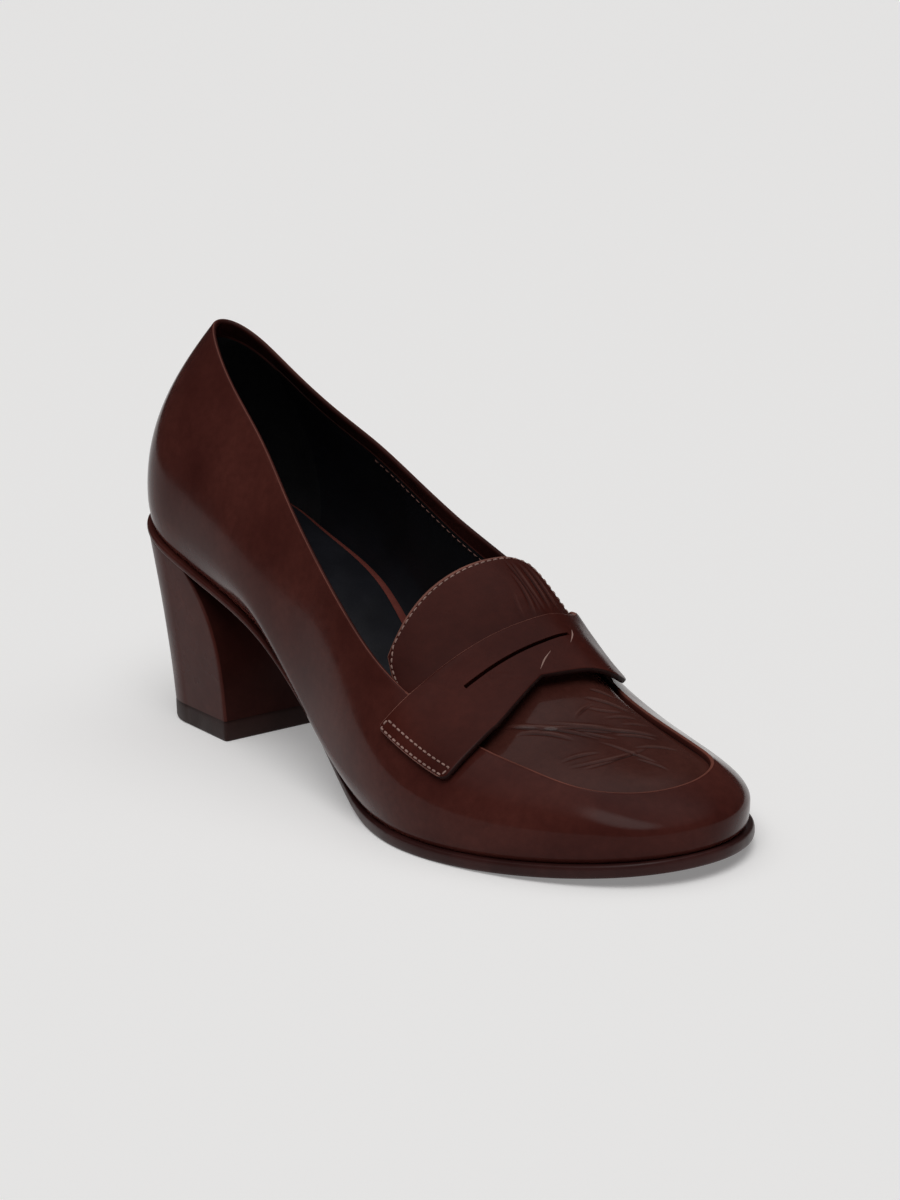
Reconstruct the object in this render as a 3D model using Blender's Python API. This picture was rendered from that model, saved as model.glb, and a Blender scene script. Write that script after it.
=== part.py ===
"""A right loafer pump: smooth leather, block heel, saddle strap over a raised apron seam.

The back of the heel is at x = 0 of the shoe's own lines and the toe at x = LENGTH; -Y is the
wearer's right, the lateral side. Everything is in metres, +Z up. The finished pieces are moved
so that the origin is on the floor, under the middle of the shoe.
"""
import math

import bpy
import numpy as np

# Driving sizes
LENGTH = 0.2420             # outsole, flat along the floor
BALL_WIDTH = 0.0870         # outsole across the ball of the foot
HEEL_HEIGHT = 0.0600        # floor to the underside of the sole, at the back of the heel
COUNTER_HEIGHT = 0.0620     # sole to the back of the topline, straight up
COUNTER_LEAN = 0.0234       # how far the topline's back stands ahead of the heel
TOE_SPRING = 0.0039         # how far the tip of the sole stands off the floor
SEAM_SETBACK = 0.0125       # tip of the sole to the raised seam
OUTSOLE_THICKNESS = 0.0035
WAIST_THICKNESS = 0.0022    # the sole thins out from the ball to the heel seat
WELT_EDGE = 0.0014          # how far the sole's edge stands outside the upper
UPPER_WALL = 0.0015
RIM_STEP = 0.0014           # how far the vamp's raised seam stands above the plug
RIM_WIDTH = 0.0013
INSOLE_THICKNESS = 0.0045   # board and padded sock
TONGUE_THICKNESS = 0.0016
STRAP_THICKNESS = 0.0017
STRAP_WIDTH = 0.0255        # along the foot
NOTCH_DEPTH = 0.0058        # of the V in the strap's front edge
SLIT_LENGTH = 0.0350
SLIT_WIDTH = 0.0012
HEEL_BOTTOM_WIDTH = 0.0476
HEEL_RAKE = 0.0066          # how far the heel's back comes forward on its way down
HEEL_BREAST = 0.0534        # back of the sole to the breast of the heel, at the floor
BREAST_SWEEP = 0.0158       # how far the breast runs back again where it meets the sole
TOP_LIFT_THICKNESS = 0.0058
CLEARANCE = 0.0003          # between pieces that meet

LEATHER = (0.060, 0.018, 0.014)
SOLE_BROWN = (0.016, 0.007, 0.007)
RUBBER = (0.012, 0.010, 0.010)
LINING = (0.008, 0.008, 0.010)

TREAD = (0.64, 0.74)        # shares of the length between which the sole lies flat
HEEL_SEAT = 0.45            # share of the length where the thin part of the sole ends
THROAT = 0.655              # share of the top ring where the topline meets the seam
WIDEST = 0.30               # share of the wall's rows that lie below its widest line

SEAT_INSET = 0.0005         # the heel's top stands this far inside the sole's edge
BACK_TAPER = 0.0017         # the heel's back is this much narrower than its breast
STRAP_BACK = 0.670          # share of the top ring at the strap's rear edge
STRAP_GAP = 0.0006          # strap above what it is drawn over
STRAP_COLUMNS = 41
NOTCH_PLACE = 0.09          # middle of the notch across the strap, -1 to 1
NOTCH_SPREAD = 0.55
SLIT_SETBACK = 0.0088       # rear edge of the strap to the slit
SLIT_CENTRE = -0.046        # shares of the ball width from the centre line
TONGUE_END = 0.553          # shares of the top ring
TONGUE_FRONT = 0.742
TONGUE_CORNER = 0.022
SOLE_POINTS = 96
FRONT_COLUMNS = 41
BACK_COLUMNS = 50
WALL_ROWS = np.array([0.0, 0.12, WIDEST, 0.45, 0.6, 0.75, 0.88, 1.0])
PLUG_ROWS = np.array([0.0, 0.12, 0.3, 0.5, 0.75, 1.0])
TONGUE_ROWS = np.array([0.06, 0.2, 0.36, 0.55, 0.78, 1.0])
HEEL_ROWS = np.array([0.0, 0.1, 0.3, 0.5, 0.7, 0.82, 0.92, 1.0])
RIM_FLAT = 0.6              # share of the raised seam's width that is level
OUTSOLE_EDGE = (0.0008, 0.0), (0.0, 0.3), (0.0, 0.8), (0.0004, 1.0)    # inset, share of height
INSOLE_EDGE = (0.0, 0.0), (0.0, 0.7), (0.0005, 1.0)
COLLECTION = "loafer_pump"


def table(columns, *rows):
    """Sections as named columns, one row for each section."""
    return dict(zip(columns.split(), np.array(rows, float).T))


# Outline of the sole; the half widths are shares of the ball width
SOLE = table(
    "along lateral medial",
    (0.00, 0.000, 0.000),
    (0.02, 0.176, 0.176),
    (0.05, 0.252, 0.252),
    (0.10, 0.298, 0.297),
    (0.15, 0.302, 0.299),
    (0.30, 0.300, 0.285),
    (0.45, 0.318, 0.258),
    (0.57, 0.418, 0.356),
    (0.68, 0.501, 0.486),
    (0.78, 0.487, 0.495),
    (0.87, 0.409, 0.430),
    (0.94, 0.300, 0.316),
    (0.98, 0.186, 0.187),
    (1.00, 0.000, 0.000),
)
# Underside of the sole from the heel seat down to the tread, as shares of the heel height
SHANK = table(
    "along height",
    (0.00, 1.000),
    (0.10, 0.883),
    (0.18, 0.783),
    (0.25, 0.700),
    (0.32, 0.583),
    (0.39, 0.390),
    (0.48, 0.150),
    (0.54, 0.050),
    (0.60, 0.006),
    (0.64, 0.000),
)
# Widest line of the upper; rise is a share of the counter height above the sole
WALL = table(
    "along lateral medial rise",
    (0.00, 0.000, 0.000, 0.130),
    (0.02, 0.172, 0.172, 0.132),
    (0.05, 0.247, 0.247, 0.137),
    (0.10, 0.294, 0.293, 0.150),
    (0.15, 0.305, 0.300, 0.165),
    (0.30, 0.340, 0.305, 0.205),
    (0.45, 0.386, 0.305, 0.200),
    (0.57, 0.455, 0.368, 0.170),
    (0.68, 0.494, 0.482, 0.145),
    (0.78, 0.477, 0.483, 0.129),
    (0.87, 0.400, 0.418, 0.113),
    (0.94, 0.291, 0.307, 0.105),
    (0.98, 0.179, 0.182, 0.097),
    (1.00, 0.000, 0.000, 0.097),
)
# Topline back to the throat, then the raised seam round the plug; the bows are shares of the
# way up the wall that it stays upright
TOP = table(
    "along lateral medial lateral_rise medial_rise lateral_bow medial_bow",
    (0.000, 0.000, 0.000, 1.000, 1.000, 0.55, 0.55),
    (0.050, 0.098, 0.092, 0.965, 0.957, 0.55, 0.55),
    (0.130, 0.155, 0.138, 0.880, 0.856, 0.52, 0.52),
    (0.220, 0.201, 0.184, 0.807, 0.783, 0.48, 0.48),
    (0.320, 0.259, 0.230, 0.774, 0.790, 0.45, 0.45),
    (0.420, 0.310, 0.264, 0.786, 0.838, 0.45, 0.45),
    (0.520, 0.356, 0.299, 0.740, 0.826, 0.48, 0.45),
    (0.620, 0.379, 0.325, 0.608, 0.675, 0.54, 0.46),
    (0.700, 0.356, 0.296, 0.480, 0.520, 0.58, 0.38),
    (0.780, 0.333, 0.264, 0.397, 0.430, 0.60, 0.30),
    (0.860, 0.308, 0.251, 0.350, 0.365, 0.58, 0.30),
    (0.920, 0.279, 0.245, 0.309, 0.314, 0.55, 0.36),
    (0.965, 0.218, 0.218, 0.272, 0.272, 0.52, 0.42),
    (0.990, 0.121, 0.126, 0.248, 0.248, 0.50, 0.48),
    (1.000, 0.000, 0.000, 0.240, 0.240, 0.50, 0.50),
)
# Ridge of the instep, from under the tongue's free end down to the toe
RIDGE = table(
    "along offset rise",
    (0.560, 0.125, 0.930),
    (0.600, 0.130, 0.866),
    (0.628, 0.130, 0.808),
    (0.661, 0.130, 0.711),
    (0.697, 0.130, 0.631),
    (0.735, 0.125, 0.544),
    (0.769, 0.110, 0.482),
    (0.806, 0.085, 0.422),
    (0.847, 0.050, 0.368),
    (0.897, 0.000, 0.303),
)
# Lateral and medial end of the strap: the shares of the wall's rows where its rear and front
# corners lie, and the share of the top ring that it has run back by there
STRAP_ENDS = table(
    "rear front slant",
    (0.76, 0.62, 0.020),
    (0.96, 0.93, 0.072),
)
# Edges of the tongue behind the throat, in and down from where the plug's would lie
TONGUE = table(
    "along lateral_in lateral_down medial_in medial_down",
    (0.540, 0.060, 0.020, 0.045, -0.130),
    (0.570, 0.045, 0.075, 0.040, -0.140),
    (0.600, 0.025, 0.090, 0.035, -0.110),
    (0.630, 0.010, 0.050, 0.015, -0.045),
    (0.655, 0.000, 0.000, 0.000, 0.000),
)


def spline(knots, values, slopes=(None, None)):
    """Cubic through the values; an end without a slope is left straight."""
    count = len(knots)
    step = np.diff(knots)
    rise = np.diff(values) / step
    matrix = np.zeros((count, count))
    right = np.zeros(count)
    for i in range(1, count - 1):
        matrix[i, i - 1:i + 2] = step[i - 1], 2 * (step[i - 1] + step[i]), step[i]
        right[i] = 6 * (rise[i] - rise[i - 1])
    matrix[0, 0] = matrix[-1, -1] = 1.0
    if slopes[0] is not None:
        matrix[0, :2] = 2 * step[0], step[0]
        right[0] = 6 * (rise[0] - slopes[0])
    if slopes[1] is not None:
        matrix[-1, -2:] = step[-1], 2 * step[-1]
        right[-1] = 6 * (slopes[1] - rise[-1])
    bend = np.linalg.solve(matrix, right)

    def value(at):
        at = np.clip(np.asarray(at, float), knots[0], knots[-1])
        i = np.clip(np.searchsorted(knots, at, side="right") - 1, 0, count - 2)
        ahead = knots[i + 1] - at
        behind = at - knots[i]
        cubic = (bend[i] * ahead ** 3 + bend[i + 1] * behind ** 3) / (6 * step[i])
        low = (values[i] / step[i] - bend[i] * step[i] / 6) * ahead
        high = (values[i + 1] / step[i] - bend[i + 1] * step[i] / 6) * behind
        return cubic + low + high
    return value


def turn(along):
    """Angle round the shoe, 0 at the heel and pi at the toe, of a share of its length."""
    return np.arccos(1 - 2 * np.asarray(along, float))


def share(angle):
    return (1 - np.cos(angle)) / 2


def width_curve(sections, column):
    """Half width by angle round the shoe: it closes round at heel and toe."""
    return spline(turn(sections["along"]), sections[column] * BALL_WIDTH)


def height_curve(sections, column, size=COUNTER_HEIGHT):
    """Height by angle round the shoe: level where it crosses the centre line."""
    return spline(turn(sections["along"]), sections[column] * size, (0.0, 0.0))


SOLE_WIDTHS = width_curve(SOLE, "lateral"), width_curve(SOLE, "medial")
WALL_WIDTHS = width_curve(WALL, "lateral"), width_curve(WALL, "medial")
WALL_RISE = height_curve(WALL, "rise")
TOP_WIDTHS = width_curve(TOP, "lateral"), width_curve(TOP, "medial")
TOP_RISES = height_curve(TOP, "lateral_rise"), height_curve(TOP, "medial_rise")
BOWS = height_curve(TOP, "lateral_bow", 1.0), height_curve(TOP, "medial_bow", 1.0)
SHANK_HEIGHT = spline(SHANK["along"], SHANK["height"] * HEEL_HEIGHT, (None, 0.0))
RIDGE_OFFSET = spline(RIDGE["along"], RIDGE["offset"] * BALL_WIDTH, (None, 0.0))
RIDGE_RISE = spline(RIDGE["along"], RIDGE["rise"] * COUNTER_HEIGHT)
TONGUE_IN = [spline(TONGUE["along"], TONGUE[side] * BALL_WIDTH, (None, 0.0))
             for side in ("lateral_in", "medial_in")]
TONGUE_DOWN = [spline(TONGUE["along"], TONGUE[side] * COUNTER_HEIGHT, (None, 0.0))
               for side in ("lateral_down", "medial_down")]


def sole_underside(x):
    along = x / LENGTH
    shank = np.where(along < TREAD[0], SHANK_HEIGHT(along), 0.0)
    spring = np.clip((along - TREAD[1]) / (1 - TREAD[1]), 0.0, None)
    return shank + TOE_SPRING * spring ** 2


def sole_top(x):
    growth = np.clip((x / LENGTH - HEEL_SEAT) / (TREAD[0] - HEEL_SEAT), 0.0, 1.0)
    thickness = WAIST_THICKNESS + (OUTSOLE_THICKNESS - WAIST_THICKNESS) * growth
    return sole_underside(x) + thickness


def half_turn(angle):
    """Side of the shoe (-1 lateral, 1 medial) and angle from the heel, for a full turn."""
    angle = np.asarray(angle, float)
    lateral = angle <= math.pi
    return np.where(lateral, -1.0, 1.0), np.where(lateral, angle, 2 * math.pi - angle)


def pick(side, curves, angle):
    return np.where(side < 0, curves[0](angle), curves[1](angle))


def sole_outline(angle, inset=0.0):
    """Plan of the sole's edge, drawn in by inset all round."""
    side, angle = half_turn(angle)
    x = inset + share(angle) * (LENGTH - 2 * inset)
    half = pick(side, SOLE_WIDTHS, angle)
    half = np.maximum(half - inset * np.tanh(3 * np.sin(angle)), 0.0)
    return x, side * half


def feather_line(angle):
    """Where the upper meets the sole."""
    x, y = sole_outline(angle, WELT_EDGE)
    return np.stack([x, y, sole_top(x) + CLEARANCE], -1)


def widest_line(angle):
    side, angle = half_turn(angle)
    inset = WELT_EDGE / 2
    x = inset + share(angle) * (LENGTH - 2 * inset)
    return np.stack([x, side * pick(side, WALL_WIDTHS, angle), sole_top(x) + WALL_RISE(angle)], -1)


def top_line(angle):
    """The topline, and ahead of the throat the raised seam."""
    side, angle = half_turn(angle)
    x = COUNTER_LEAN + share(angle) * (LENGTH - SEAM_SETBACK - COUNTER_LEAN)
    rise = pick(side, TOP_RISES, angle)
    return np.stack([x, side * pick(side, TOP_WIDTHS, angle), sole_top(x) + rise], -1)


def wall(angle, up):
    """Outside of the upper: up runs from 0 at the sole to 1 at the top line."""
    low, wide, high = feather_line(angle), widest_line(angle), top_line(angle)
    if up < WIDEST:
        part = up / WIDEST
        point = low + (wide - low) * math.sin(part * math.pi / 2)
        point[..., 2] = low[..., 2] + (wide[..., 2] - low[..., 2]) * part
        return point
    part = (up - WIDEST) / (1 - WIDEST)
    knee = wide.copy()
    side, from_heel = half_turn(angle)
    knee[..., 2] += pick(side, BOWS, from_heel) * (high[..., 2] - wide[..., 2])
    return wide * (1 - part) ** 2 + knee * 2 * part * (1 - part) + high * part ** 2


def ridge(along):
    """Point on the ridge of the instep, by share of the sole's length."""
    x = along * LENGTH
    return np.stack([x, RIDGE_OFFSET(along), sole_top(x) + RIDGE_RISE(along)], -1)


def ridge_under(angle):
    """The ridge point that the seam at this angle is joined to across the plug."""
    x = top_line(angle)[..., 0]
    throat_x = top_line(turn(THROAT))[0]
    last_x = RIDGE["along"][-1] * LENGTH
    part = np.clip((x - throat_x) / (LENGTH - SEAM_SETBACK - throat_x), 0.0, None)
    return ridge(np.where(part > 0, throat_x + (last_x - throat_x) * part, x) / LENGTH)


def dome(edge, crest, part):
    """From edge (0) to crest (1): straight in plan, rising and levelling out at the crest."""
    point = edge + (crest - edge) * part
    point[..., 2] = edge[..., 2] + (crest[..., 2] - edge[..., 2]) * (2 * part - part ** 2)
    return point


def towards(point, goal, distance):
    """The point moved in plan by distance towards a goal."""
    plan = (goal - point)[..., :2]
    length = np.linalg.norm(plan, axis=-1, keepdims=True)
    moved = point.copy()
    moved[..., :2] += plan / np.maximum(length, 1e-9) * distance
    return moved


def plug(angle, part):
    """Top of the plug inside the raised seam, from its edge (0) to the ridge (1)."""
    crest = ridge_under(angle)
    edge = towards(top_line(angle), crest, RIM_WIDTH)
    edge[..., 2] -= RIM_STEP
    return dome(edge, crest, part)


SOLE_EDGE = sole_outline(np.linspace(0.0, 2 * math.pi, 721))[1]
CENTRE = np.array([LENGTH / 2, (SOLE_EDGE.min() + SOLE_EDGE.max()) / 2, 0.0])


def tongue_sheet(angle, part):
    """Underside of the tongue: on the plug under the strap, and free of it behind the throat."""
    side, along = half_turn(angle)
    along = share(along)
    crest = ridge_under(angle)
    inward = np.where(side < 0, TONGUE_IN[0](along), TONGUE_IN[1](along))[..., None]
    edge = towards(top_line(angle), crest, RIM_WIDTH + inward)
    edge[..., 2] -= RIM_STEP + np.where(side < 0, TONGUE_DOWN[0](along), TONGUE_DOWN[1](along))
    point = dome(edge, crest, part)
    point[..., 2] += 2 * CLEARANCE
    return point


def section_hull(along, ends):
    """Taut line over the shoe at one place along the top ring: walls, seam and tongue."""
    lateral = turn(along)
    medial = 2 * math.pi - lateral
    rows = [np.linspace(end, 1.0, 9) for end in ends]
    parts = np.linspace(TONGUE_ROWS[0], 1.0, 12)
    lift = np.array([0.0, 0.0, TONGUE_THICKNESS + 2 * CLEARANCE])
    points = [wall(lateral, up) for up in rows[0]]
    points += [tongue_sheet(lateral, part) + lift for part in parts]
    points += [tongue_sheet(medial, part) + lift for part in parts[::-1]]
    points += [wall(medial, up) for up in rows[1][::-1]]
    hull = []
    for point in points:
        while len(hull) > 1:
            run, rise = (hull[-1] - hull[-2])[1:]
            ahead, climb = (point - hull[-2])[1:]
            if run * climb - rise * ahead < 0:
                break
            hull.pop()
        hull.append(point)
    return np.array(hull)


def spread(line, count):
    """Points evenly spaced along a line."""
    gaps = np.linalg.norm(np.diff(line, axis=0), axis=1)
    travelled = np.concatenate([[0.0], np.cumsum(gaps)])
    at = np.linspace(0.0, travelled[-1], count)
    return np.stack([np.interp(at, travelled, line[:, k]) for k in range(3)], -1)


def grid_normals(grid):
    """Unit normals of a grid of points, rows along the foot and columns across it."""
    along = np.gradient(grid, axis=0)
    across = np.gradient(grid, axis=1)
    normal = np.cross(along, across)
    return normal / np.linalg.norm(normal, axis=-1, keepdims=True)


def grid_faces(rows, columns, closed=False, skip=()):
    """Quads between the points of a grid stored row by row."""
    last = columns if closed else columns - 1
    return [
        [r * columns + c, r * columns + (c + 1) % columns,
         (r + 1) * columns + (c + 1) % columns, (r + 1) * columns + c]
        for r in range(rows - 1) for c in range(last) if (r, c) not in skip
    ]


def weld(outer, inner, faces):
    """Join the points that coincide, with their inner partners, and drop what collapses."""
    _, first, joined = np.unique(np.round(outer, 7), axis=0, return_index=True, return_inverse=True)
    joined = joined.ravel()
    welded = [list(dict.fromkeys(int(joined[i]) for i in face)) for face in faces]
    return outer[first], inner[first], [face for face in welded if len(face) > 2]


def add_object(name, points, faces, colour, roughness):
    """Mesh object in the shoe's collection, moved from the shoe's own lines to its origin."""
    mesh = bpy.data.meshes.new(name)
    mesh.from_pydata([tuple(point) for point in np.asarray(points) - CENTRE], [], faces)
    mesh.shade_smooth()
    mesh.set_sharp_from_angle(angle=math.radians(40))
    material = bpy.data.materials.new(name)
    material.use_nodes = True
    shader = material.node_tree.nodes["Principled BSDF"]
    shader.inputs["Base Color"].default_value = (*colour, 1.0)
    shader.inputs["Roughness"].default_value = roughness
    mesh.materials.append(material)
    piece = bpy.data.objects.new(name, mesh)
    bpy.data.collections[COLLECTION].objects.link(piece)
    return piece


def add_shell(name, outer, inner, faces, colour, roughness):
    """Closed wall between an open surface and its inner points, bridged along its borders."""
    count = len(outer)
    sides = {(a, b) for face in faces for a, b in zip(face, face[1:] + face[:1])}
    inside = [[i + count for i in reversed(face)] for face in faces]
    borders = [[b, a, a + count, b + count] for a, b in sorted(sides) if (b, a) not in sides]
    return add_object(name, np.vstack([outer, inner]), faces + inside + borders, colour, roughness)


def add_stack(name, rings, colour, roughness):
    """Solid through rings of equal count, capped by strips straight across the shoe.

    Each ring starts at the heel's centre, goes up the lateral side and comes back down the
    medial side, so the points opposite each other are counted from its two ends.
    """
    rings = np.asarray(rings)
    levels, count = rings.shape[:2]
    faces = grid_faces(levels, count, closed=True)
    for level in (0, levels - 1):
        for i in range((count - 1) // 2 + 1 - count % 2):
            strip = [i, i + 1, count - i - 1, (count - i) % count]
            strip = [level * count + k for k in dict.fromkeys(strip)]
            if len(strip) > 2:
                faces.append(strip[::-1] if level == 0 else strip)
    return add_object(name, rings.reshape(-1, 3), faces, colour, roughness)


def full_turn(count=SOLE_POINTS):
    return np.linspace(0.0, 2 * math.pi, count, endpoint=False)


def add_outsole():
    angle = full_turn()
    rings = []
    for inset, height in OUTSOLE_EDGE:
        x, y = sole_outline(angle, inset)
        low, high = sole_underside(x), sole_top(x)
        rings.append(np.stack([x, y, low + (high - low) * height], -1))
    return add_stack("outsole", rings, SOLE_BROWN, 0.45)


def add_insole():
    angle = full_turn()
    inset = WELT_EDGE + UPPER_WALL + 2 * CLEARANCE
    rings = []
    for extra, height in INSOLE_EDGE:
        x, y = sole_outline(angle, inset + extra)
        rings.append(np.stack([x, y, sole_top(x) + CLEARANCE + INSOLE_THICKNESS * height], -1))
    return add_stack("insole", rings, LINING, 0.6)


def heel_ring(up):
    """Horseshoe section of the heel in plan, at a share of its height."""
    seat_half = SOLE["lateral"][3] * BALL_WIDTH - SEAT_INSET
    half = HEEL_BOTTOM_WIDTH / 2 + (seat_half - HEEL_BOTTOM_WIDTH / 2) * up
    radius = half - BACK_TAPER * (1 - up)
    back = SEAT_INSET + HEEL_RAKE * (1 - up ** 1.6)
    front = HEEL_BREAST - BREAST_SWEEP * up ** 3.2
    turned = np.linspace(0.0, math.pi / 2, 10)
    x = back + radius * (1 - np.cos(turned))
    y = radius * np.sin(turned)
    side = np.linspace(0.0, 1.0, 4)[1:]
    x = np.concatenate([x, x[-1] + (front - x[-1]) * side])
    y = np.concatenate([y, y[-1] + (half - y[-1]) * side])
    return np.concatenate([x, x[:0:-1]]), np.concatenate([-y, y[:0:-1]])


def add_heel():
    seat_x = heel_ring(1.0)[0]
    floor = TOP_LIFT_THICKNESS + CLEARANCE
    rise = sole_underside(seat_x) - CLEARANCE - floor
    rings = []
    for up in HEEL_ROWS:
        x, y = heel_ring(up)
        rings.append(np.stack([x, y, floor + rise * up], -1))
    return add_stack("heel", rings, LEATHER, 0.35)


def add_top_lift():
    x, y = heel_ring(0.0)
    rings = [np.stack([x, y, np.full_like(x, z)], -1) for z in (0.0, TOP_LIFT_THICKNESS)]
    return add_stack("top_lift", rings, RUBBER, 0.6)


def wall_inside(angle, up):
    """Inner face of the upper's wall."""
    nudge = 1e-4
    low, high = max(up - nudge, 0.0), min(up + nudge, 1.0)
    around = wall(angle + nudge, up) - wall(angle - nudge, up)
    normal = np.cross(around, wall(angle, high) - wall(angle, low))
    if up == 0.0:
        normal[..., 2] = 0.0
    normal /= np.linalg.norm(normal, axis=-1, keepdims=True)
    return wall(angle, up) - UPPER_WALL * normal


def plug_inside(angle, part):
    return plug(angle, part) - np.array([0.0, 0.0, UPPER_WALL])


def add_upper():
    """Quarters and vamp as one wall, and the plug set down inside its raised seam."""
    throat = float(turn(THROAT))
    front = np.linspace(throat, 2 * math.pi - throat, FRONT_COLUMNS)
    back = np.linspace(-throat, throat, BACK_COLUMNS + 2)[1:-1]
    around = np.concatenate([front, np.mod(back, 2 * math.pi)])
    outer = np.stack([wall(around, up) for up in WALL_ROWS])
    inner = np.stack([wall_inside(around, up) for up in WALL_ROWS])
    plug_outer = np.stack([plug(front, part) for part in PLUG_ROWS])
    plug_inner = np.stack([plug_inside(front, part) for part in PLUG_ROWS])
    seam = outer[-1, :FRONT_COLUMNS]
    rim = towards(seam, ridge_under(front), RIM_WIDTH * RIM_FLAT)
    below, beyond = inner[-2, :FRONT_COLUMNS], plug_inner[1]
    inner[-1, 1:FRONT_COLUMNS - 1] = (below + (beyond - below) * 0.25)[1:-1]
    rim_inner = below + (beyond - below) * 0.5
    plug_inner[0] = below + (beyond - below) * 0.75
    top_outer = np.concatenate([seam[None], rim[None], plug_outer])
    top_inner = np.concatenate([inner[-1:, :FRONT_COLUMNS], rim_inner[None], plug_inner])
    faces = grid_faces(len(WALL_ROWS), len(around), closed=True)
    start = outer[..., 0].size
    faces += [[start + i for i in face] for face in grid_faces(len(top_outer), FRONT_COLUMNS)]
    points = np.vstack([outer.reshape(-1, 3), top_outer.reshape(-1, 3)])
    partners = np.vstack([inner.reshape(-1, 3), top_inner.reshape(-1, 3)])
    return add_shell("upper", *weld(points, partners, faces), LEATHER, 0.3)


def add_tongue():
    """Free end of the plug, from under the strap up over the instep."""
    across = np.concatenate([-TONGUE_ROWS, TONGUE_ROWS[-2::-1]])
    rows = []
    for step in np.linspace(0.0, 1.0, 9):
        row = []
        for column, signed in enumerate(across):
            corner = abs(2 * column / (len(across) - 1) - 1) ** 5 * TONGUE_CORNER
            start = TONGUE_END + corner
            along = turn(start + (TONGUE_FRONT - start) * step)
            angle = along if signed < 0 else 2 * math.pi - along
            row.append(tongue_sheet(angle, abs(signed)))
        rows.append(row)
    under = np.array(rows)
    over = under + grid_normals(under) * TONGUE_THICKNESS
    faces = [face[::-1] for face in grid_faces(*under.shape[:2])]
    return add_shell("tongue", over.reshape(-1, 3), under.reshape(-1, 3), faces, LEATHER, 0.3)


def strap_grid():
    """Underside of the strap, drawn taut over seam and tongue, notched at the front."""
    ring_length = LENGTH - SEAM_SETBACK - COUNTER_LEAN
    width = STRAP_WIDTH / ring_length
    stations = np.linspace(STRAP_BACK - STRAP_ENDS["slant"].max(), STRAP_BACK + width, 20)
    ends = np.linspace(STRAP_ENDS["rear"], STRAP_ENDS["front"], len(stations))
    taut = np.array([spread(section_hull(*pair), STRAP_COLUMNS) for pair in zip(stations, ends)])
    for _ in range(3):
        taut[:, 1:-1] = (taut[:, :-2] + 2 * taut[:, 1:-1] + taut[:, 2:]) / 4
    across = np.linspace(-1.0, 1.0, STRAP_COLUMNS)
    slant = np.where(across < 0, *STRAP_ENDS["slant"]) * across ** 4
    notch = np.clip(1 - np.abs(across - NOTCH_PLACE) / NOTCH_SPREAD, 0, None) ** 1.2
    back = STRAP_BACK - slant
    front = back + width - NOTCH_DEPTH / ring_length * notch
    slit = back + SLIT_SETBACK / ring_length
    slit_end = slit + SLIT_WIDTH / ring_length
    rows = [back, (back + slit) / 2, slit, slit_end]
    rows += [slit_end + (front - slit_end) * part for part in (0.33, 0.67, 1.0)]
    grid = np.empty((len(rows), STRAP_COLUMNS, 3))
    for r, row in enumerate(rows):
        for c in range(STRAP_COLUMNS):
            grid[r, c] = [np.interp(row[c], stations, taut[:, c, k]) for k in range(3)]
    return grid


def add_strap():
    """Saddle strap over the seam and the tongue, with its slit."""
    grid = strap_grid()
    normal = grid_normals(grid)
    under = grid + normal * STRAP_GAP
    over = under + normal * STRAP_THICKNESS
    middle = grid[3, :, 1] - SLIT_CENTRE * BALL_WIDTH
    open_columns = np.flatnonzero(np.abs(middle) < SLIT_LENGTH / 2)
    skip = {(2, int(c)) for c in open_columns[:-1]}
    faces = [face[::-1] for face in grid_faces(*under.shape[:2], skip=skip)]
    return add_shell("saddle_strap", over.reshape(-1, 3), under.reshape(-1, 3), faces, LEATHER, 0.3)


def main():
    for thing in list(bpy.data.objects):
        bpy.data.objects.remove(thing)
    bpy.context.scene.collection.children.link(bpy.data.collections.new(COLLECTION))
    add_outsole()
    add_heel()
    add_top_lift()
    add_insole()
    add_upper()
    add_tongue()
    add_strap()


main()
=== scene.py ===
"""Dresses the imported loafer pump: leather, lining, stitches, creases, light and camera.

The shoe's own lines run from the back of the heel at x = 0 to the toe at x = LENGTH, with the
lateral side at -Y, in metres. Each piece is moved to the frame's origin as it is made.
"""
import math

import bpy
import numpy as np
from mathutils import Matrix, Vector


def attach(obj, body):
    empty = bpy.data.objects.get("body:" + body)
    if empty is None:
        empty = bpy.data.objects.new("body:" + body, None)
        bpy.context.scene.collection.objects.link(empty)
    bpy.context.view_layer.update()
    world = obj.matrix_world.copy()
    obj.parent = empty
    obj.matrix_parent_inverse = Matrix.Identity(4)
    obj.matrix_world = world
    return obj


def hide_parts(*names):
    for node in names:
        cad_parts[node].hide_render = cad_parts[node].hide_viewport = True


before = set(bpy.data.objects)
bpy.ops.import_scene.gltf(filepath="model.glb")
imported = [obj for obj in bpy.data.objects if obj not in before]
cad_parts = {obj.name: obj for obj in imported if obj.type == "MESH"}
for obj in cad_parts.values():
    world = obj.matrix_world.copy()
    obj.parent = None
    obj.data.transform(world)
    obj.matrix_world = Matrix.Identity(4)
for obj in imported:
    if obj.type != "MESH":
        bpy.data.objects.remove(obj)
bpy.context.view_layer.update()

# Sizes, as in the solids
LENGTH = 0.2420
BALL_WIDTH = 0.0870
HEEL_HEIGHT = 0.0600
COUNTER_HEIGHT = 0.0620
COUNTER_LEAN = 0.0234
TOE_SPRING = 0.0039
SEAM_SETBACK = 0.0125
OUTSOLE_THICKNESS = 0.0035
WAIST_THICKNESS = 0.0022
WELT_EDGE = 0.0014
UPPER_WALL = 0.0015
RIM_STEP = 0.0014
RIM_WIDTH = 0.0013
INSOLE_THICKNESS = 0.0045
TONGUE_THICKNESS = 0.0016
STRAP_THICKNESS = 0.0017
STRAP_WIDTH = 0.0255
NOTCH_DEPTH = 0.0058
SLIT_LENGTH = 0.0350
SLIT_WIDTH = 0.0012
HEEL_BOTTOM_WIDTH = 0.0476
HEEL_RAKE = 0.0066
HEEL_BREAST = 0.0534
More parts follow.
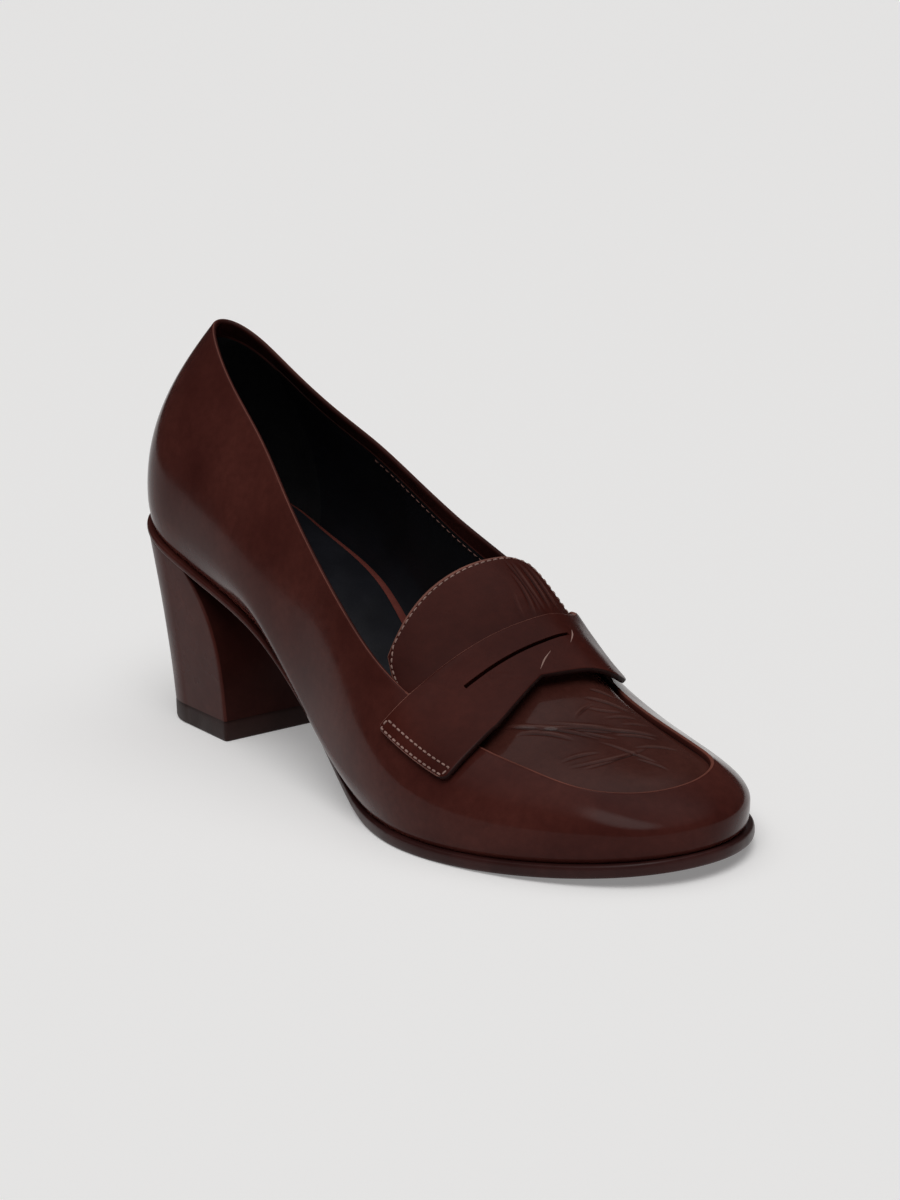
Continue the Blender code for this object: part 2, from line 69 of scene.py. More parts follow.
BREAST_SWEEP = 0.0158
TOP_LIFT_THICKNESS = 0.0058
CLEARANCE = 0.0003
TREAD = (0.64, 0.74)
HEEL_SEAT = 0.45
THROAT = 0.655
WIDEST = 0.30
SEAT_INSET = 0.0005
BACK_TAPER = 0.0017
STRAP_BACK = 0.670
STRAP_GAP = 0.0006
STRAP_COLUMNS = 41
NOTCH_PLACE = 0.09
NOTCH_SPREAD = 0.55
SLIT_SETBACK = 0.0088
SLIT_CENTRE = -0.046
TONGUE_END = 0.553
TONGUE_FRONT = 0.742
TONGUE_CORNER = 0.022
TONGUE_EDGE = 0.06
# Sizes that only the dressed shoe has
STRAP_CORNER = 0.0022       # radius of the strap's corners
STRAP_REACH = 0.092         # the strap from end to end
STRAP_FRONT = 0.0150        # slit to the strap's front edge
TONGUE_REACH = (0.036, 0.060)   # along and across
TONGUE_GRID = (70, 130)     # rows and columns
TONGUE_PASSES = 60          # of smoothing along the tongue
STRAP_FINE_COLUMNS = 190
CREASE_DEPTH = 2.0          # times the depths in the tables of creases
PLUG_BLUR = 0.0024          # reach over which the plug's heights are evened out
APRON_STEPS = (0.00022, 0.00048)    # between columns, where it creases and elsewhere
LINING_PROUD = 0.0004       # the lining stands this far inside the wall
GRIP_PROUD = 0.00025        # and the heel grip this much further
SOCK_THICKNESS = 0.0008
HEEL_COVER = 0.40           # share of the length where the sole's edge is covered in leather
# Pitch, length and radius of the stitches
TONGUE_STITCH = (0.0021, 0.0018, 0.00024)
STRAP_STITCH = (0.0019, 0.0016, 0.00027)
FACING_STITCH = (0.0024, 0.0018, 0.00018)
FACING_STITCH_UP = 0.90     # share of the wall where they run
FACING_STITCH_START = 0.075     # how far from the heel they begin


def table(columns, *rows):
    """Rows under named columns."""
    return dict(zip(columns.split(), np.array(rows, float).T))


# Sections, as in the solids: along is a share of the length, widths of the ball width, rises of
# the counter height, and the shank's heights of the heel height
SOLE = table(
    "along lateral medial",
    (0.00, 0.000, 0.000),
    (0.02, 0.176, 0.176),
    (0.05, 0.252, 0.252),
    (0.10, 0.298, 0.297),
    (0.15, 0.302, 0.299),
    (0.30, 0.300, 0.285),
    (0.45, 0.318, 0.258),
    (0.57, 0.418, 0.356),
    (0.68, 0.501, 0.486),
    (0.78, 0.487, 0.495),
    (0.87, 0.409, 0.430),
    (0.94, 0.300, 0.316),
    (0.98, 0.186, 0.187),
    (1.00, 0.000, 0.000),
)
SHANK = table(
    "along height",
    (0.00, 1.000),
    (0.10, 0.883),
    (0.18, 0.783),
    (0.25, 0.700),
    (0.32, 0.583),
    (0.39, 0.390),
    (0.48, 0.150),
    (0.54, 0.050),
    (0.60, 0.006),
    (0.64, 0.000),
)
WALL = table(
    "along lateral medial rise",
    (0.00, 0.000, 0.000, 0.130),
    (0.02, 0.172, 0.172, 0.132),
    (0.05, 0.247, 0.247, 0.137),
    (0.10, 0.294, 0.293, 0.150),
    (0.15, 0.305, 0.300, 0.165),
    (0.30, 0.340, 0.305, 0.205),
    (0.45, 0.386, 0.305, 0.200),
    (0.57, 0.455, 0.368, 0.170),
    (0.68, 0.494, 0.482, 0.145),
    (0.78, 0.477, 0.483, 0.129),
    (0.87, 0.400, 0.418, 0.113),
    (0.94, 0.291, 0.307, 0.105),
    (0.98, 0.179, 0.182, 0.097),
    (1.00, 0.000, 0.000, 0.097),
)
TOP = table(
    "along lateral medial lateral_rise medial_rise lateral_bow medial_bow",
    (0.000, 0.000, 0.000, 1.000, 1.000, 0.55, 0.55),
    (0.050, 0.098, 0.092, 0.965, 0.957, 0.55, 0.55),
    (0.130, 0.155, 0.138, 0.880, 0.856, 0.52, 0.52),
    (0.220, 0.201, 0.184, 0.807, 0.783, 0.48, 0.48),
    (0.320, 0.259, 0.230, 0.774, 0.790, 0.45, 0.45),
    (0.420, 0.310, 0.264, 0.786, 0.838, 0.45, 0.45),
    (0.520, 0.356, 0.299, 0.740, 0.826, 0.48, 0.45),
    (0.620, 0.379, 0.325, 0.608, 0.675, 0.54, 0.46),
    (0.700, 0.356, 0.296, 0.480, 0.520, 0.58, 0.38),
    (0.780, 0.333, 0.264, 0.397, 0.430, 0.60, 0.30),
    (0.860, 0.308, 0.251, 0.350, 0.365, 0.58, 0.30),
    (0.920, 0.279, 0.245, 0.309, 0.314, 0.55, 0.36),
    (0.965, 0.218, 0.218, 0.272, 0.272, 0.52, 0.42),
    (0.990, 0.121, 0.126, 0.248, 0.248, 0.50, 0.48),
    (1.000, 0.000, 0.000, 0.240, 0.240, 0.50, 0.50),
)
RIDGE = table(
    "along offset rise",
    (0.560, 0.125, 0.930),
    (0.600, 0.130, 0.866),
    (0.628, 0.130, 0.808),
    (0.661, 0.130, 0.711),
    (0.697, 0.130, 0.631),
    (0.735, 0.125, 0.544),
    (0.769, 0.110, 0.482),
    (0.806, 0.085, 0.422),
    (0.847, 0.050, 0.368),
    (0.897, 0.000, 0.303),
)
STRAP_ENDS = table(
    "rear front slant",
    (0.76, 0.62, 0.020),
    (0.96, 0.93, 0.072),
)
# On the lateral side the tongue comes further down than the solid one, to meet the topline
TONGUE = table(
    "along lateral_in lateral_down medial_in medial_down",
    (0.540, 0.060, 0.020, 0.045, -0.130),
    (0.570, 0.045, 0.075, 0.040, -0.140),
    (0.600, 0.025, 0.090, 0.035, -0.110),
    (0.630, 0.010, 0.085, 0.015, -0.045),
    (0.655, 0.000, 0.055, 0.000, 0.000),
    (0.680, 0.000, 0.000, 0.000, 0.000),
)
# Raised seam from the vamp over to the plug: share of its width, and millimetres up
RIM = table(
    "across rise",
    (0.06, 0.10),
    (0.18, 0.20),
    (0.34, 0.26),
    (0.50, 0.26),
    (0.66, 0.18),
    (0.80, 0.02),
    (0.90, -0.25),
    (0.97, -0.70),
    (1.00, -1.25),
)
# Light lines on the strap beside the end of its slit, a painted highlight along the edges of two small
# cuts, in mm of the shoe's own lines
CUT_MARKS = (
    ("cut_highlight_long", ((173.3, 4.3), (175.3, 0.9), (177.8, -2.1))),
    ("cut_highlight_short", ((167.6, 15.9), (169.9, 14.7), (172.3, 11.8))),
)
# Creases of the plug ahead of the strap, in mm of the shoe's own lines: each runs in a shallow
# bow from its start to its end, as a trough of this depth and half width with a ridge beside it
PLUG_CREASES = table(
    "x0 y0 x1 y1 bow depth width",
    (185.5, -17.0, 201.8, -2.0, 0.8, 0.16, 0.42),
    (189.5, -9.8, 198.6, 5.2, -0.6, 0.12, 0.38),
    (193.2, -8.0, 201.0, 5.2, -0.5, 0.13, 0.36),
    (189.5, -15.6, 207.2, 15.4, 1.2, 0.18, 0.45),
    (187.8, -17.8, 199.0, -8.2, 0.9, 0.15, 0.40),
    (201.2, 2.8, 207.8, 12.6, 0.6, 0.11, 0.36),
    (196.0, -4.9, 203.2, 2.4, -0.6, 0.11, 0.34),
    (208.2, -17.0, 209.6, 8.4, -2.4, 0.12, 0.40),
    (211.0, -14.2, 211.0, 0.4, -1.0, 0.09, 0.38),
    (205.0, -16.9, 207.2, -6.2, 0.4, 0.09, 0.40),
    (202.8, -3.0, 218.2, 4.2, 0.7, 0.10, 0.38),
    (213.2, 0.4, 221.4, 4.4, 0.4, 0.08, 0.36),
    (208.6, 3.8, 214.2, 15.2, 0.6, 0.10, 0.36),
    (184.8, 6.4, 194.2, 15.4, 0.8, 0.12, 0.40),
    (191.6, -1.6, 188.0, 7.0, 0.5, 0.09, 0.34),
    (188.8, 4.2, 193.4, 12.6, -0.5, 0.09, 0.34),
    (182.0, 9.5, 187.0, 15.8, 0.4, 0.11, 0.36),
    (194.0, 6.0, 197.4, 15.6, 0.5, 0.09, 0.36),
    (198.0, 8.2, 201.4, 16.8, 0.4, 0.08, 0.34),
    (183.5, -19.2, 190.0, -12.4, 0.5, 0.12, 0.38),
)
# Creases of the tongue's medial shoulder
TONGUE_CREASES = table(
    "x0 y0 x1 y1 bow depth width",
    (140.5, 14.6, 158.0, 12.8, 0.5, 0.14, 0.34),
    (141.0, 16.3, 158.0, 14.6, -0.4, 0.16, 0.34),
    (141.8, 18.2, 158.0, 16.6, 0.5, 0.16, 0.36),
    (142.8, 20.0, 157.0, 19.6, 0.5, 0.15, 0.40),
    (145.0, 13.2, 160.0, 9.8, 0.6, 0.10, 0.34),
    (149.5, 9.6, 160.5, 6.2, -0.5, 0.07, 0.34),
)
# Fine creases of the strap round its slit
STRAP_CREASES = table(
    "x0 y0 x1 y1 bow depth width",
    (171.5, -17.0, 176.5, -9.0, 0.4, 0.05, 0.34),
    (173.0, -20.0, 175.0, -12.0, 0.3, 0.05, 0.32),
    (171.0, -24.0, 173.5, -17.0, -0.3, 0.05, 0.34),
    (165.0, -22.0, 167.0, -13.0, 0.3, 0.04, 0.34),
    (176.0, -14.0, 180.0, -6.0, 0.3, 0.04, 0.34),
)


def spline(knots, values, slopes=(None, None)):
    """Cubic through the values; an end without a slope is left straight."""
    count = len(knots)
    step = np.diff(knots)
    rise = np.diff(values) / step
    matrix = np.zeros((count, count))
    right = np.zeros(count)
    for i in range(1, count - 1):
        matrix[i, i - 1:i + 2] = step[i - 1], 2 * (step[i - 1] + step[i]), step[i]
        right[i] = 6 * (rise[i] - rise[i - 1])
    matrix[0, 0] = matrix[-1, -1] = 1.0
    if slopes[0] is not None:
        matrix[0, :2] = 2 * step[0], step[0]
        right[0] = 6 * (rise[0] - slopes[0])
    if slopes[1] is not None:
        matrix[-1, -2:] = step[-1], 2 * step[-1]
        right[-1] = 6 * (slopes[1] - rise[-1])
    bend = np.linalg.solve(matrix, right)

    def value(at):
        at = np.clip(np.asarray(at, float), knots[0], knots[-1])
        i = np.clip(np.searchsorted(knots, at, side="right") - 1, 0, count - 2)
        ahead = knots[i + 1] - at
        behind = at - knots[i]
        cubic = (bend[i] * ahead ** 3 + bend[i + 1] * behind ** 3) / (6 * step[i])
        low = (values[i] / step[i] - bend[i] * step[i] / 6) * ahead
        high = (values[i + 1] / step[i] - bend[i + 1] * step[i] / 6) * behind
        return cubic + low + high
    return value


def turn(along):
    return np.arccos(1 - 2 * np.asarray(along, float))


def share(angle):
    return (1 - np.cos(angle)) / 2


def width_curve(sections, column):
    return spline(turn(sections["along"]), sections[column] * BALL_WIDTH)


def height_curve(sections, column, size=COUNTER_HEIGHT):
    return spline(turn(sections["along"]), sections[column] * size, (0.0, 0.0))


SOLE_WIDTHS = width_curve(SOLE, "lateral"), width_curve(SOLE, "medial")
WALL_WIDTHS = width_curve(WALL, "lateral"), width_curve(WALL, "medial")
WALL_RISE = height_curve(WALL, "rise")
TOP_WIDTHS = width_curve(TOP, "lateral"), width_curve(TOP, "medial")
TOP_RISES = height_curve(TOP, "lateral_rise"), height_curve(TOP, "medial_rise")
BOWS = height_curve(TOP, "lateral_bow", 1.0), height_curve(TOP, "medial_bow", 1.0)
SHANK_HEIGHT = spline(SHANK["along"], SHANK["height"] * HEEL_HEIGHT, (None, 0.0))
RIDGE_OFFSET = spline(RIDGE["along"], RIDGE["offset"] * BALL_WIDTH, (None, 0.0))
RIDGE_RISE = spline(RIDGE["along"], RIDGE["rise"] * COUNTER_HEIGHT)
TONGUE_IN = [spline(TONGUE["along"], TONGUE[side] * BALL_WIDTH, (None, 0.0))
             for side in ("lateral_in", "medial_in")]
TONGUE_DOWN = [spline(TONGUE["along"], TONGUE[side] * COUNTER_HEIGHT, (None, 0.0))
               for side in ("lateral_down", "medial_down")]


def sole_underside(x):
    along = x / LENGTH
    shank = np.where(along < TREAD[0], SHANK_HEIGHT(along), 0.0)
    spring = np.clip((along - TREAD[1]) / (1 - TREAD[1]), 0.0, None)
    return shank + TOE_SPRING * spring ** 2


def sole_top(x):
    growth = np.clip((x / LENGTH - HEEL_SEAT) / (TREAD[0] - HEEL_SEAT), 0.0, 1.0)
    thickness = WAIST_THICKNESS + (OUTSOLE_THICKNESS - WAIST_THICKNESS) * growth
    return sole_underside(x) + thickness


def half_turn(angle):
    """Side of the shoe (-1 lateral, 1 medial) and angle from the heel, for a full turn."""
    angle = np.asarray(angle, float)
    lateral = angle <= math.pi
    return np.where(lateral, -1.0, 1.0), np.where(lateral, angle, 2 * math.pi - angle)


def pick(side, curves, angle):
    return np.where(side < 0, curves[0](angle), curves[1](angle))


def sole_outline(angle, inset=0.0):
    side, angle = half_turn(angle)
    x = inset + share(angle) * (LENGTH - 2 * inset)
    half = pick(side, SOLE_WIDTHS, angle)
    half = np.maximum(half - inset * np.tanh(3 * np.sin(angle)), 0.0)
    return x, side * half


def feather_line(angle):
    x, y = sole_outline(angle, WELT_EDGE)
    return np.stack([x, y, sole_top(x) + CLEARANCE], -1)


def widest_line(angle):
    side, angle = half_turn(angle)
    inset = WELT_EDGE / 2
    x = inset + share(angle) * (LENGTH - 2 * inset)
    return np.stack([x, side * pick(side, WALL_WIDTHS, angle), sole_top(x) + WALL_RISE(angle)], -1)


def top_line(angle):
    side, angle = half_turn(angle)
    x = COUNTER_LEAN + share(angle) * (LENGTH - SEAM_SETBACK - COUNTER_LEAN)
    rise = pick(side, TOP_RISES, angle)
    return np.stack([x, side * pick(side, TOP_WIDTHS, angle), sole_top(x) + rise], -1)


def wall(angle, up):
    """Outside of the upper: up runs from 0 at the sole to 1 at the top line."""
    low, wide, high = feather_line(angle), widest_line(angle), top_line(angle)
    if up < WIDEST:
        part = up / WIDEST
        point = low + (wide - low) * math.sin(part * math.pi / 2)
        point[..., 2] = low[..., 2] + (wide[..., 2] - low[..., 2]) * part
        return point
    part = (up - WIDEST) / (1 - WIDEST)
    knee = wide.copy()
    side, from_heel = half_turn(angle)
    knee[..., 2] += pick(side, BOWS, from_heel) * (high[..., 2] - wide[..., 2])
    return wide * (1 - part) ** 2 + knee * 2 * part * (1 - part) + high * part ** 2


def ridge(along):
    x = along * LENGTH
    return np.stack([x, RIDGE_OFFSET(along), sole_top(x) + RIDGE_RISE(along)], -1)


def ridge_under(angle):
    """The ridge point that the seam at this angle is joined to across the plug."""
    x = top_line(angle)[..., 0]
    throat_x = top_line(turn(THROAT))[0]
    last_x = RIDGE["along"][-1] * LENGTH
    part = np.clip((x - throat_x) / (LENGTH - SEAM_SETBACK - throat_x), 0.0, None)
    return ridge(np.where(part > 0, throat_x + (last_x - throat_x) * part, x) / LENGTH)


def dome(edge, crest, part):
    """From edge (0) to crest (1): straight in plan, rising and levelling out at the crest."""
    part = np.asarray(part, float)[..., None]
    point = edge + (crest - edge) * part
    climb = (2 * part - part ** 2)[..., 0]
    point[..., 2] = edge[..., 2] + (crest[..., 2] - edge[..., 2]) * climb
    return point


def towards(point, goal, distance):
    """The point moved in plan by distance towards a goal."""
    plan = (goal - point)[..., :2]
    length = np.linalg.norm(plan, axis=-1, keepdims=True)
    moved = point.copy()
    moved[..., :2] += plan / np.maximum(length, 1e-9) * distance
    return moved


def plug(angle, part):
    crest = ridge_under(angle)
    edge = towards(top_line(angle), crest, RIM_WIDTH)
    edge[..., 2] -= RIM_STEP
    return dome(edge, crest, part)


def tongue_sheet(angle, part):
    """Underside of the tongue."""
    side, along = half_turn(angle)
    along = share(along)
    crest = ridge_under(angle)
    inward = np.where(side < 0, TONGUE_IN[0](along), TONGUE_IN[1](along))[..., None]
    edge = towards(top_line(angle), crest, RIM_WIDTH + inward)
    edge[..., 2] -= RIM_STEP + np.where(side < 0, TONGUE_DOWN[0](along), TONGUE_DOWN[1](along))
    point = dome(edge, crest, part)
    point[..., 2] += 2 * CLEARANCE
    return point


def section_hull(along, ends):
    """Taut line over the shoe at one place along the top ring: walls, seam and tongue."""
    lateral = turn(along)
    medial = 2 * math.pi - lateral
    rows = [np.linspace(end, 1.0, 9) for end in ends]
    parts = np.linspace(TONGUE_EDGE, 1.0, 12)
    lift = np.array([0.0, 0.0, TONGUE_THICKNESS + 2 * CLEARANCE])
    points = [wall(lateral, up) for up in rows[0]]
    points += [tongue_sheet(lateral, part) + lift for part in parts]
    points += [tongue_sheet(medial, part) + lift for part in parts[::-1]]
    points += [wall(medial, up) for up in rows[1][::-1]]
    hull = []
    for point in points:
        while len(hull) > 1:
            run, rise = (hull[-1] - hull[-2])[1:]
            ahead, climb = (point - hull[-2])[1:]
            if run * climb - rise * ahead < 0:
                break
            hull.pop()
        hull.append(point)
    return np.array(hull)


def distances(line):
    """Distance travelled at each point of a line."""
    gaps = np.linalg.norm(np.diff(line, axis=0), axis=1)
    return np.concatenate([[0.0], np.cumsum(gaps)])


def read_off(where, travelled, values):
    return np.stack([np.interp(where, travelled, values[:, k]) for k in range(3)], -1)


def spread(line, count):
    """Points evenly spaced along a line."""
    travelled = distances(line)
    return read_off(np.linspace(0.0, travelled[-1], count), travelled, line)


SOLE_EDGE = sole_outline(np.linspace(0.0, 2 * math.pi, 721))[1]
CENTRE = np.array([LENGTH / 2, (SOLE_EDGE.min() + SOLE_EDGE.max()) / 2, 0.0])


# Helpers for the fine meshes

def grid_normals(grid, closed=False):
    """Unit normals of a grid of points: columns cross rows."""
    if closed:
        across = np.roll(grid, -1, 1) - np.roll(grid, 1, 1)
    else:
        across = np.gradient(grid, axis=1)
    normal = np.cross(across, np.gradient(grid, axis=0))
    return normal / np.maximum(np.linalg.norm(normal, axis=-1, keepdims=True), 1e-12)


def grid_faces(rows, columns, closed=False, start=0, keep=None):
    """Quads of a grid stored row by row, as an array of vertex numbers."""
    last = columns if closed else columns - 1
    r, c = np.meshgrid(np.arange(rows - 1), np.arange(last), indexing="ij")
    after = (c + 1) % columns
    quads = np.stack([r * columns + c, r * columns + after,
                      (r + 1) * columns + after, (r + 1) * columns + c], -1)
    if keep is not None:
        quads = quads[keep[:rows - 1, :last]]
    return quads.reshape(-1, 4) + start


def catmull(grid, at, axis):
    """Smooth values of a grid at fractional row or column numbers."""
    grid = np.moveaxis(grid, axis, 0)
    last = len(grid) - 1
    at = np.clip(at, 0, last)
    i = np.minimum(at.astype(int), last - 1)
    t = (at - i).reshape((-1,) + (1,) * (grid.ndim - 1))
    p0, p1, p2, p3 = (grid[np.clip(i + k, 0, last)] for k in (-1, 0, 1, 2))
    p0 = np.where((i == 0).reshape(t.shape), 2 * p1 - p2, p0)
    p3 = np.where((i == last - 1).reshape(t.shape), 2 * p2 - p1, p3)
    value = 0.5 * (2 * p1 + (p2 - p0) * t + (2 * p0 - 5 * p1 + 4 * p2 - p3) * t ** 2
                   + (3 * p1 - p0 - 3 * p2 + p3) * t ** 3)
    return np.moveaxis(value, 0, axis)


def crease_lift(points, creases):
    """Millimetres up at each point: troughs along the creases, a soft ridge beside each."""
    plan = points[..., :2] * 1000
    lift = np.zeros(points.shape[:-1])
    for x0, y0, x1, y1, bow, depth, width in zip(*creases.values()):
        start, end = np.array([x0, y0]), np.array([x1, y1])
        run = end - start
        length = np.hypot(*run)
        run = run / length
        side = np.array([-run[1], run[0]])
        along = (plan - start) @ run / length
        inside = np.clip(along, 0.0, 1.0)
        off = (plan - start) @ side - bow * 4 * inside * (1 - inside)
        past = (along - inside) * length
        taper = np.sin(np.pi * inside) ** 0.9
        trough = np.exp(-(off ** 2 + past ** 2) / width ** 2)
        beside = np.exp(-((off - 2.1 * width) ** 2 + past ** 2) / (1.3 * width) ** 2)
        lift += depth * taper * (0.55 * beside - trough)
    return lift * CREASE_DEPTH


def creased(points, normals, creases):
    return points + normals * crease_lift(points, creases)[..., None] / 1000


def unevenness(points, size, pitch):
    """Slow natural swell of a skin, as a height by place."""
    p = points / pitch
    waves = (np.sin(p[..., 0] * 5.1 + 1.7 * np.sin(p[..., 1] * 3.3 + p[..., 2] * 2.1))
             + np.sin(p[..., 2] * 6.7 + 1.3 * np.sin(p[..., 0] * 2.9 + 0.8))
             + np.sin((p[..., 0] + p[..., 1]) * 4.3 + p[..., 2] * 3.7 + 2.2))
    return size * waves[..., None] / 3


def add_piece(name, points, faces, materials, indices=None, nodes=(), sharp=50,
              crease_shading=None):
    """A mesh that rides on the shoe, moved from the shoe's own lines to the frame."""
    mesh = bpy.data.meshes.new(name)
    mesh.from_pydata((np.asarray(points) - CENTRE).tolist(), [], [list(map(int, f)) for f in faces])
    for material in materials:
        mesh.materials.append(material)
    if indices is not None:
        mesh.polygons.foreach_set("material_index", np.asarray(indices, np.int32))
    if crease_shading is not None:
        # The crease lifts are kept for the leather's painted shade in troughs and painted highlight on
        # ridges
        mesh.attributes.new("crease_shading", "FLOAT", "POINT").data.foreach_set("value", crease_shading)
    mesh.shade_smooth()
    mesh.set_sharp_from_angle(angle=math.radians(sharp))
    mesh.update()
    piece = bpy.data.objects.new(name, mesh)
    bpy.context.scene.collection.objects.link(piece)
    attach(piece, "root")
    if nodes:
        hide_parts(*nodes)
    return piece


def shell(outer, inner, faces):
    """Points, faces and material numbers of the closed wall between two matched skins."""
    count = len(outer)
    sides = {}
    for number, face in enumerate(faces):
        for a, b in zip(face, np.roll(face, -1)):
            sides[(int(a), int(b))] = number
    borders, border_skin = [], []
    for (a, b), number in sides.items():
        if (b, a) not in sides:
            borders.append([b, a, a + count, b + count])
            border_skin.append(number)
    inside = [[i + count for i in reversed(face)] for face in faces]
    return np.vstack([outer, inner]), list(faces) + inside + borders, np.array(border_skin)


def weld(outer, inner, faces, marks):
    """Join the points that coincide, with their partners, and drop what collapses."""
    _, first, joined = np.unique(np.round(outer, 7), axis=0, return_index=True, return_inverse=True)
    joined = joined.ravel()
    kept, kept_marks = [], []
    for face, mark in zip(faces, marks):
        face = list(dict.fromkeys(int(joined[i]) for i in face))
        if len(face) > 2:
            kept.append(face)
            kept_marks.append(mark)
    return outer[first], inner[first], kept, kept_marks


def stack(rings):
    """Points and faces of a solid through equal rings, capped straight across."""
    rings = np.asarray(rings)
    levels, count = rings.shape[:2]
    faces = grid_faces(levels, count, closed=True).tolist()
    for level in (0, levels - 1):
        for i in range((count - 1) // 2 + 1 - count % 2):
            strip = [i, i + 1, count - i - 1, (count - i) % count]
            strip = [level * count + k for k in dict.fromkeys(strip)]
            if len(strip) > 2:
                faces.append(strip[::-1] if level == 0 else strip)
    return rings.reshape(-1, 3), faces


# Materials

class Nodes:
    """Short hand for building a shader."""

    def __init__(self, name):
        self.material = bpy.data.materials.new(name)
        self.material.use_nodes = True
        self.tree = self.material.node_tree
        self.shader = self.tree.nodes["Principled BSDF"]
        self.place = self.tree.nodes.new("ShaderNodeTexCoord").outputs["Object"]

    def node(self, kind, settings=None, **inputs):
        made = self.tree.nodes.new("ShaderNode" + kind)
        for key, value in (settings or {}).items():
            setattr(made, key, value)
        for key, value in inputs.items():
            socket = made.inputs[key.replace("_", " ")]
            if isinstance(value, bpy.types.NodeSocket):
                self.tree.links.new(value, socket)
            else:
                socket.default_value = value
        return made

    def noise(self, scale, detail=3.0, rough=0.5, place=None):
        made = self.node("TexNoise", Vector=place or self.place, Scale=scale, Detail=detail,
                         Roughness=rough)
        return made.outputs["Fac"]

    def stretched(self, scale, turned=(0.0, 0.0, 0.0)):
        made = self.node("Mapping", Vector=self.place)
        made.inputs["Scale"].default_value = scale
        made.inputs["Rotation"].default_value = turned
        return made.outputs["Vector"]

    def span(self, value, low, high, to_low, to_high):
        made = self.node("MapRange", Value=value)
        for key, number in (("From Min", low), ("From Max", high),
                            ("To Min", to_low), ("To Max", to_high)):
            made.inputs[key].default_value = number
        return made.outputs["Result"]

    def mix(self, factor, first, second):
        made = self.node("Mix", {"data_type": "RGBA"})
        for socket, value in ((made.inputs[0], factor), (made.inputs[6], first),
                              (made.inputs[7], second)):
            if isinstance(value, bpy.types.NodeSocket):
                self.tree.links.new(value, socket)
            elif isinstance(value, tuple):
                socket.default_value = (*value, 1.0)
            else:
                socket.default_value = value
        return made.outputs[2]

    def bump(self, height, strength, distance, normal=None):
        made = self.node("Bump", Height=height, Strength=strength, Distance=distance)
        if normal is not None:
            self.tree.links.new(normal, made.inputs["Normal"])
        return made.outputs["Normal"]

    def finish(self, colour=None, roughness=None, normal=None, **constants):
        for key, value in (("Base Color", colour), ("Roughness", roughness), ("Normal", normal)):
            if isinstance(value, bpy.types.NodeSocket):
                self.tree.links.new(value, self.shader.inputs[key])
            elif value is not None:
                self.shader.inputs[key].default_value = (*value, 1.0) if key == "Base Color" else value
        for key, value in constants.items():
            self.shader.inputs[key.replace("_", " ")].default_value = value
        return self.material


def leather(name, dark, light, grain=1.0, wrinkles=0.0, gloss=0.30, coat=0.25):
    """Smooth aniline leather: cloudy tone, fine pores, slight wrinkles and an uneven gloss; with
    wrinkles on, painted shade in crease troughs and a painted highlight on their ridges.
    """
    n = Nodes(name)
    cloud = n.noise(34.0, 4.0, 0.55)
    fine = n.noise(420.0, 3.0, 0.6)
    tone = n.span(cloud, 0.34, 0.68, 0.0, 1.0)
    colour = n.mix(tone, dark, light)
    speck = n.span(fine, 0.30, 0.75, 0.0, 0.35)
    colour = n.mix(speck, colour, tuple(c * 0.62 for c in dark))
    # Painted shade and highlight: the crease attribute darkens the colour in crease troughs and
    # lightens it on the ridges beside them
    if wrinkles:
        crease_shading = n.node("Attribute", {"attribute_name": "crease_shading"}).outputs["Fac"]
        colour = n.mix(n.span(crease_shading, -0.02, -0.24, 0.0, 0.75), colour, tuple(c * 0.35 for c in dark))
        colour = n.mix(n.span(crease_shading, 0.02, 0.16, 0.0, 0.5), colour, (0.115, 0.052, 0.042))
    pores = n.node("TexVoronoi", Vector=n.place, Scale=1500.0).outputs["Distance"]
    normal = n.bump(pores, 0.10 * grain, 0.00006)
    normal = n.bump(n.noise(2600.0, 2.0), 0.08 * grain, 0.00005, normal)
    normal = n.bump(n.noise(95.0, 4.0, 0.62), 0.16, 0.0004, normal)
    if wrinkles:
        across = n.noise(1.0, 4.0, 0.6, n.stretched((520.0, 90.0, 260.0), (0.0, 0.0, 0.35)))
        slant = n.noise(1.0, 3.0, 0.6, n.stretched((420.0, 120.0, 200.0), (0.0, 0.0, -0.5)))
        normal = n.bump(across, 0.30 * wrinkles, 0.0005, normal)
        normal = n.bump(slant, 0.18 * wrinkles, 0.0004, normal)
    rough = n.span(n.noise(60.0, 3.0, 0.6), 0.3, 0.7, gloss - 0.05, gloss + 0.07)
    return n.finish(colour, rough, normal, Specular_IOR_Level=0.05, Coat_Weight=coat,
                    Coat_Roughness=0.07, Coat_IOR=1.45)


def plain_skin(name, colour, roughness, scale, strength, specular=0.4):
    """Lining, rubber, edge paint, and the edges and rims given painted highlight and painted shade:
    one tone with a little cloud and a fine surface.
    """
    n = Nodes(name)
    tone = n.span(n.noise(70.0, 4.0, 0.6), 0.3, 0.7, 0.0, 1.0)
    mixed = n.mix(tone, tuple(c * 0.75 for c in colour), tuple(c * 1.3 for c in colour))
    normal = n.bump(n.noise(scale, 3.0, 0.6), strength, 0.0002)
    rough = n.span(n.noise(150.0, 3.0), 0.3, 0.7, roughness - 0.05, roughness + 0.06)
    return n.finish(mixed, rough, normal, Specular_IOR_Level=specular)


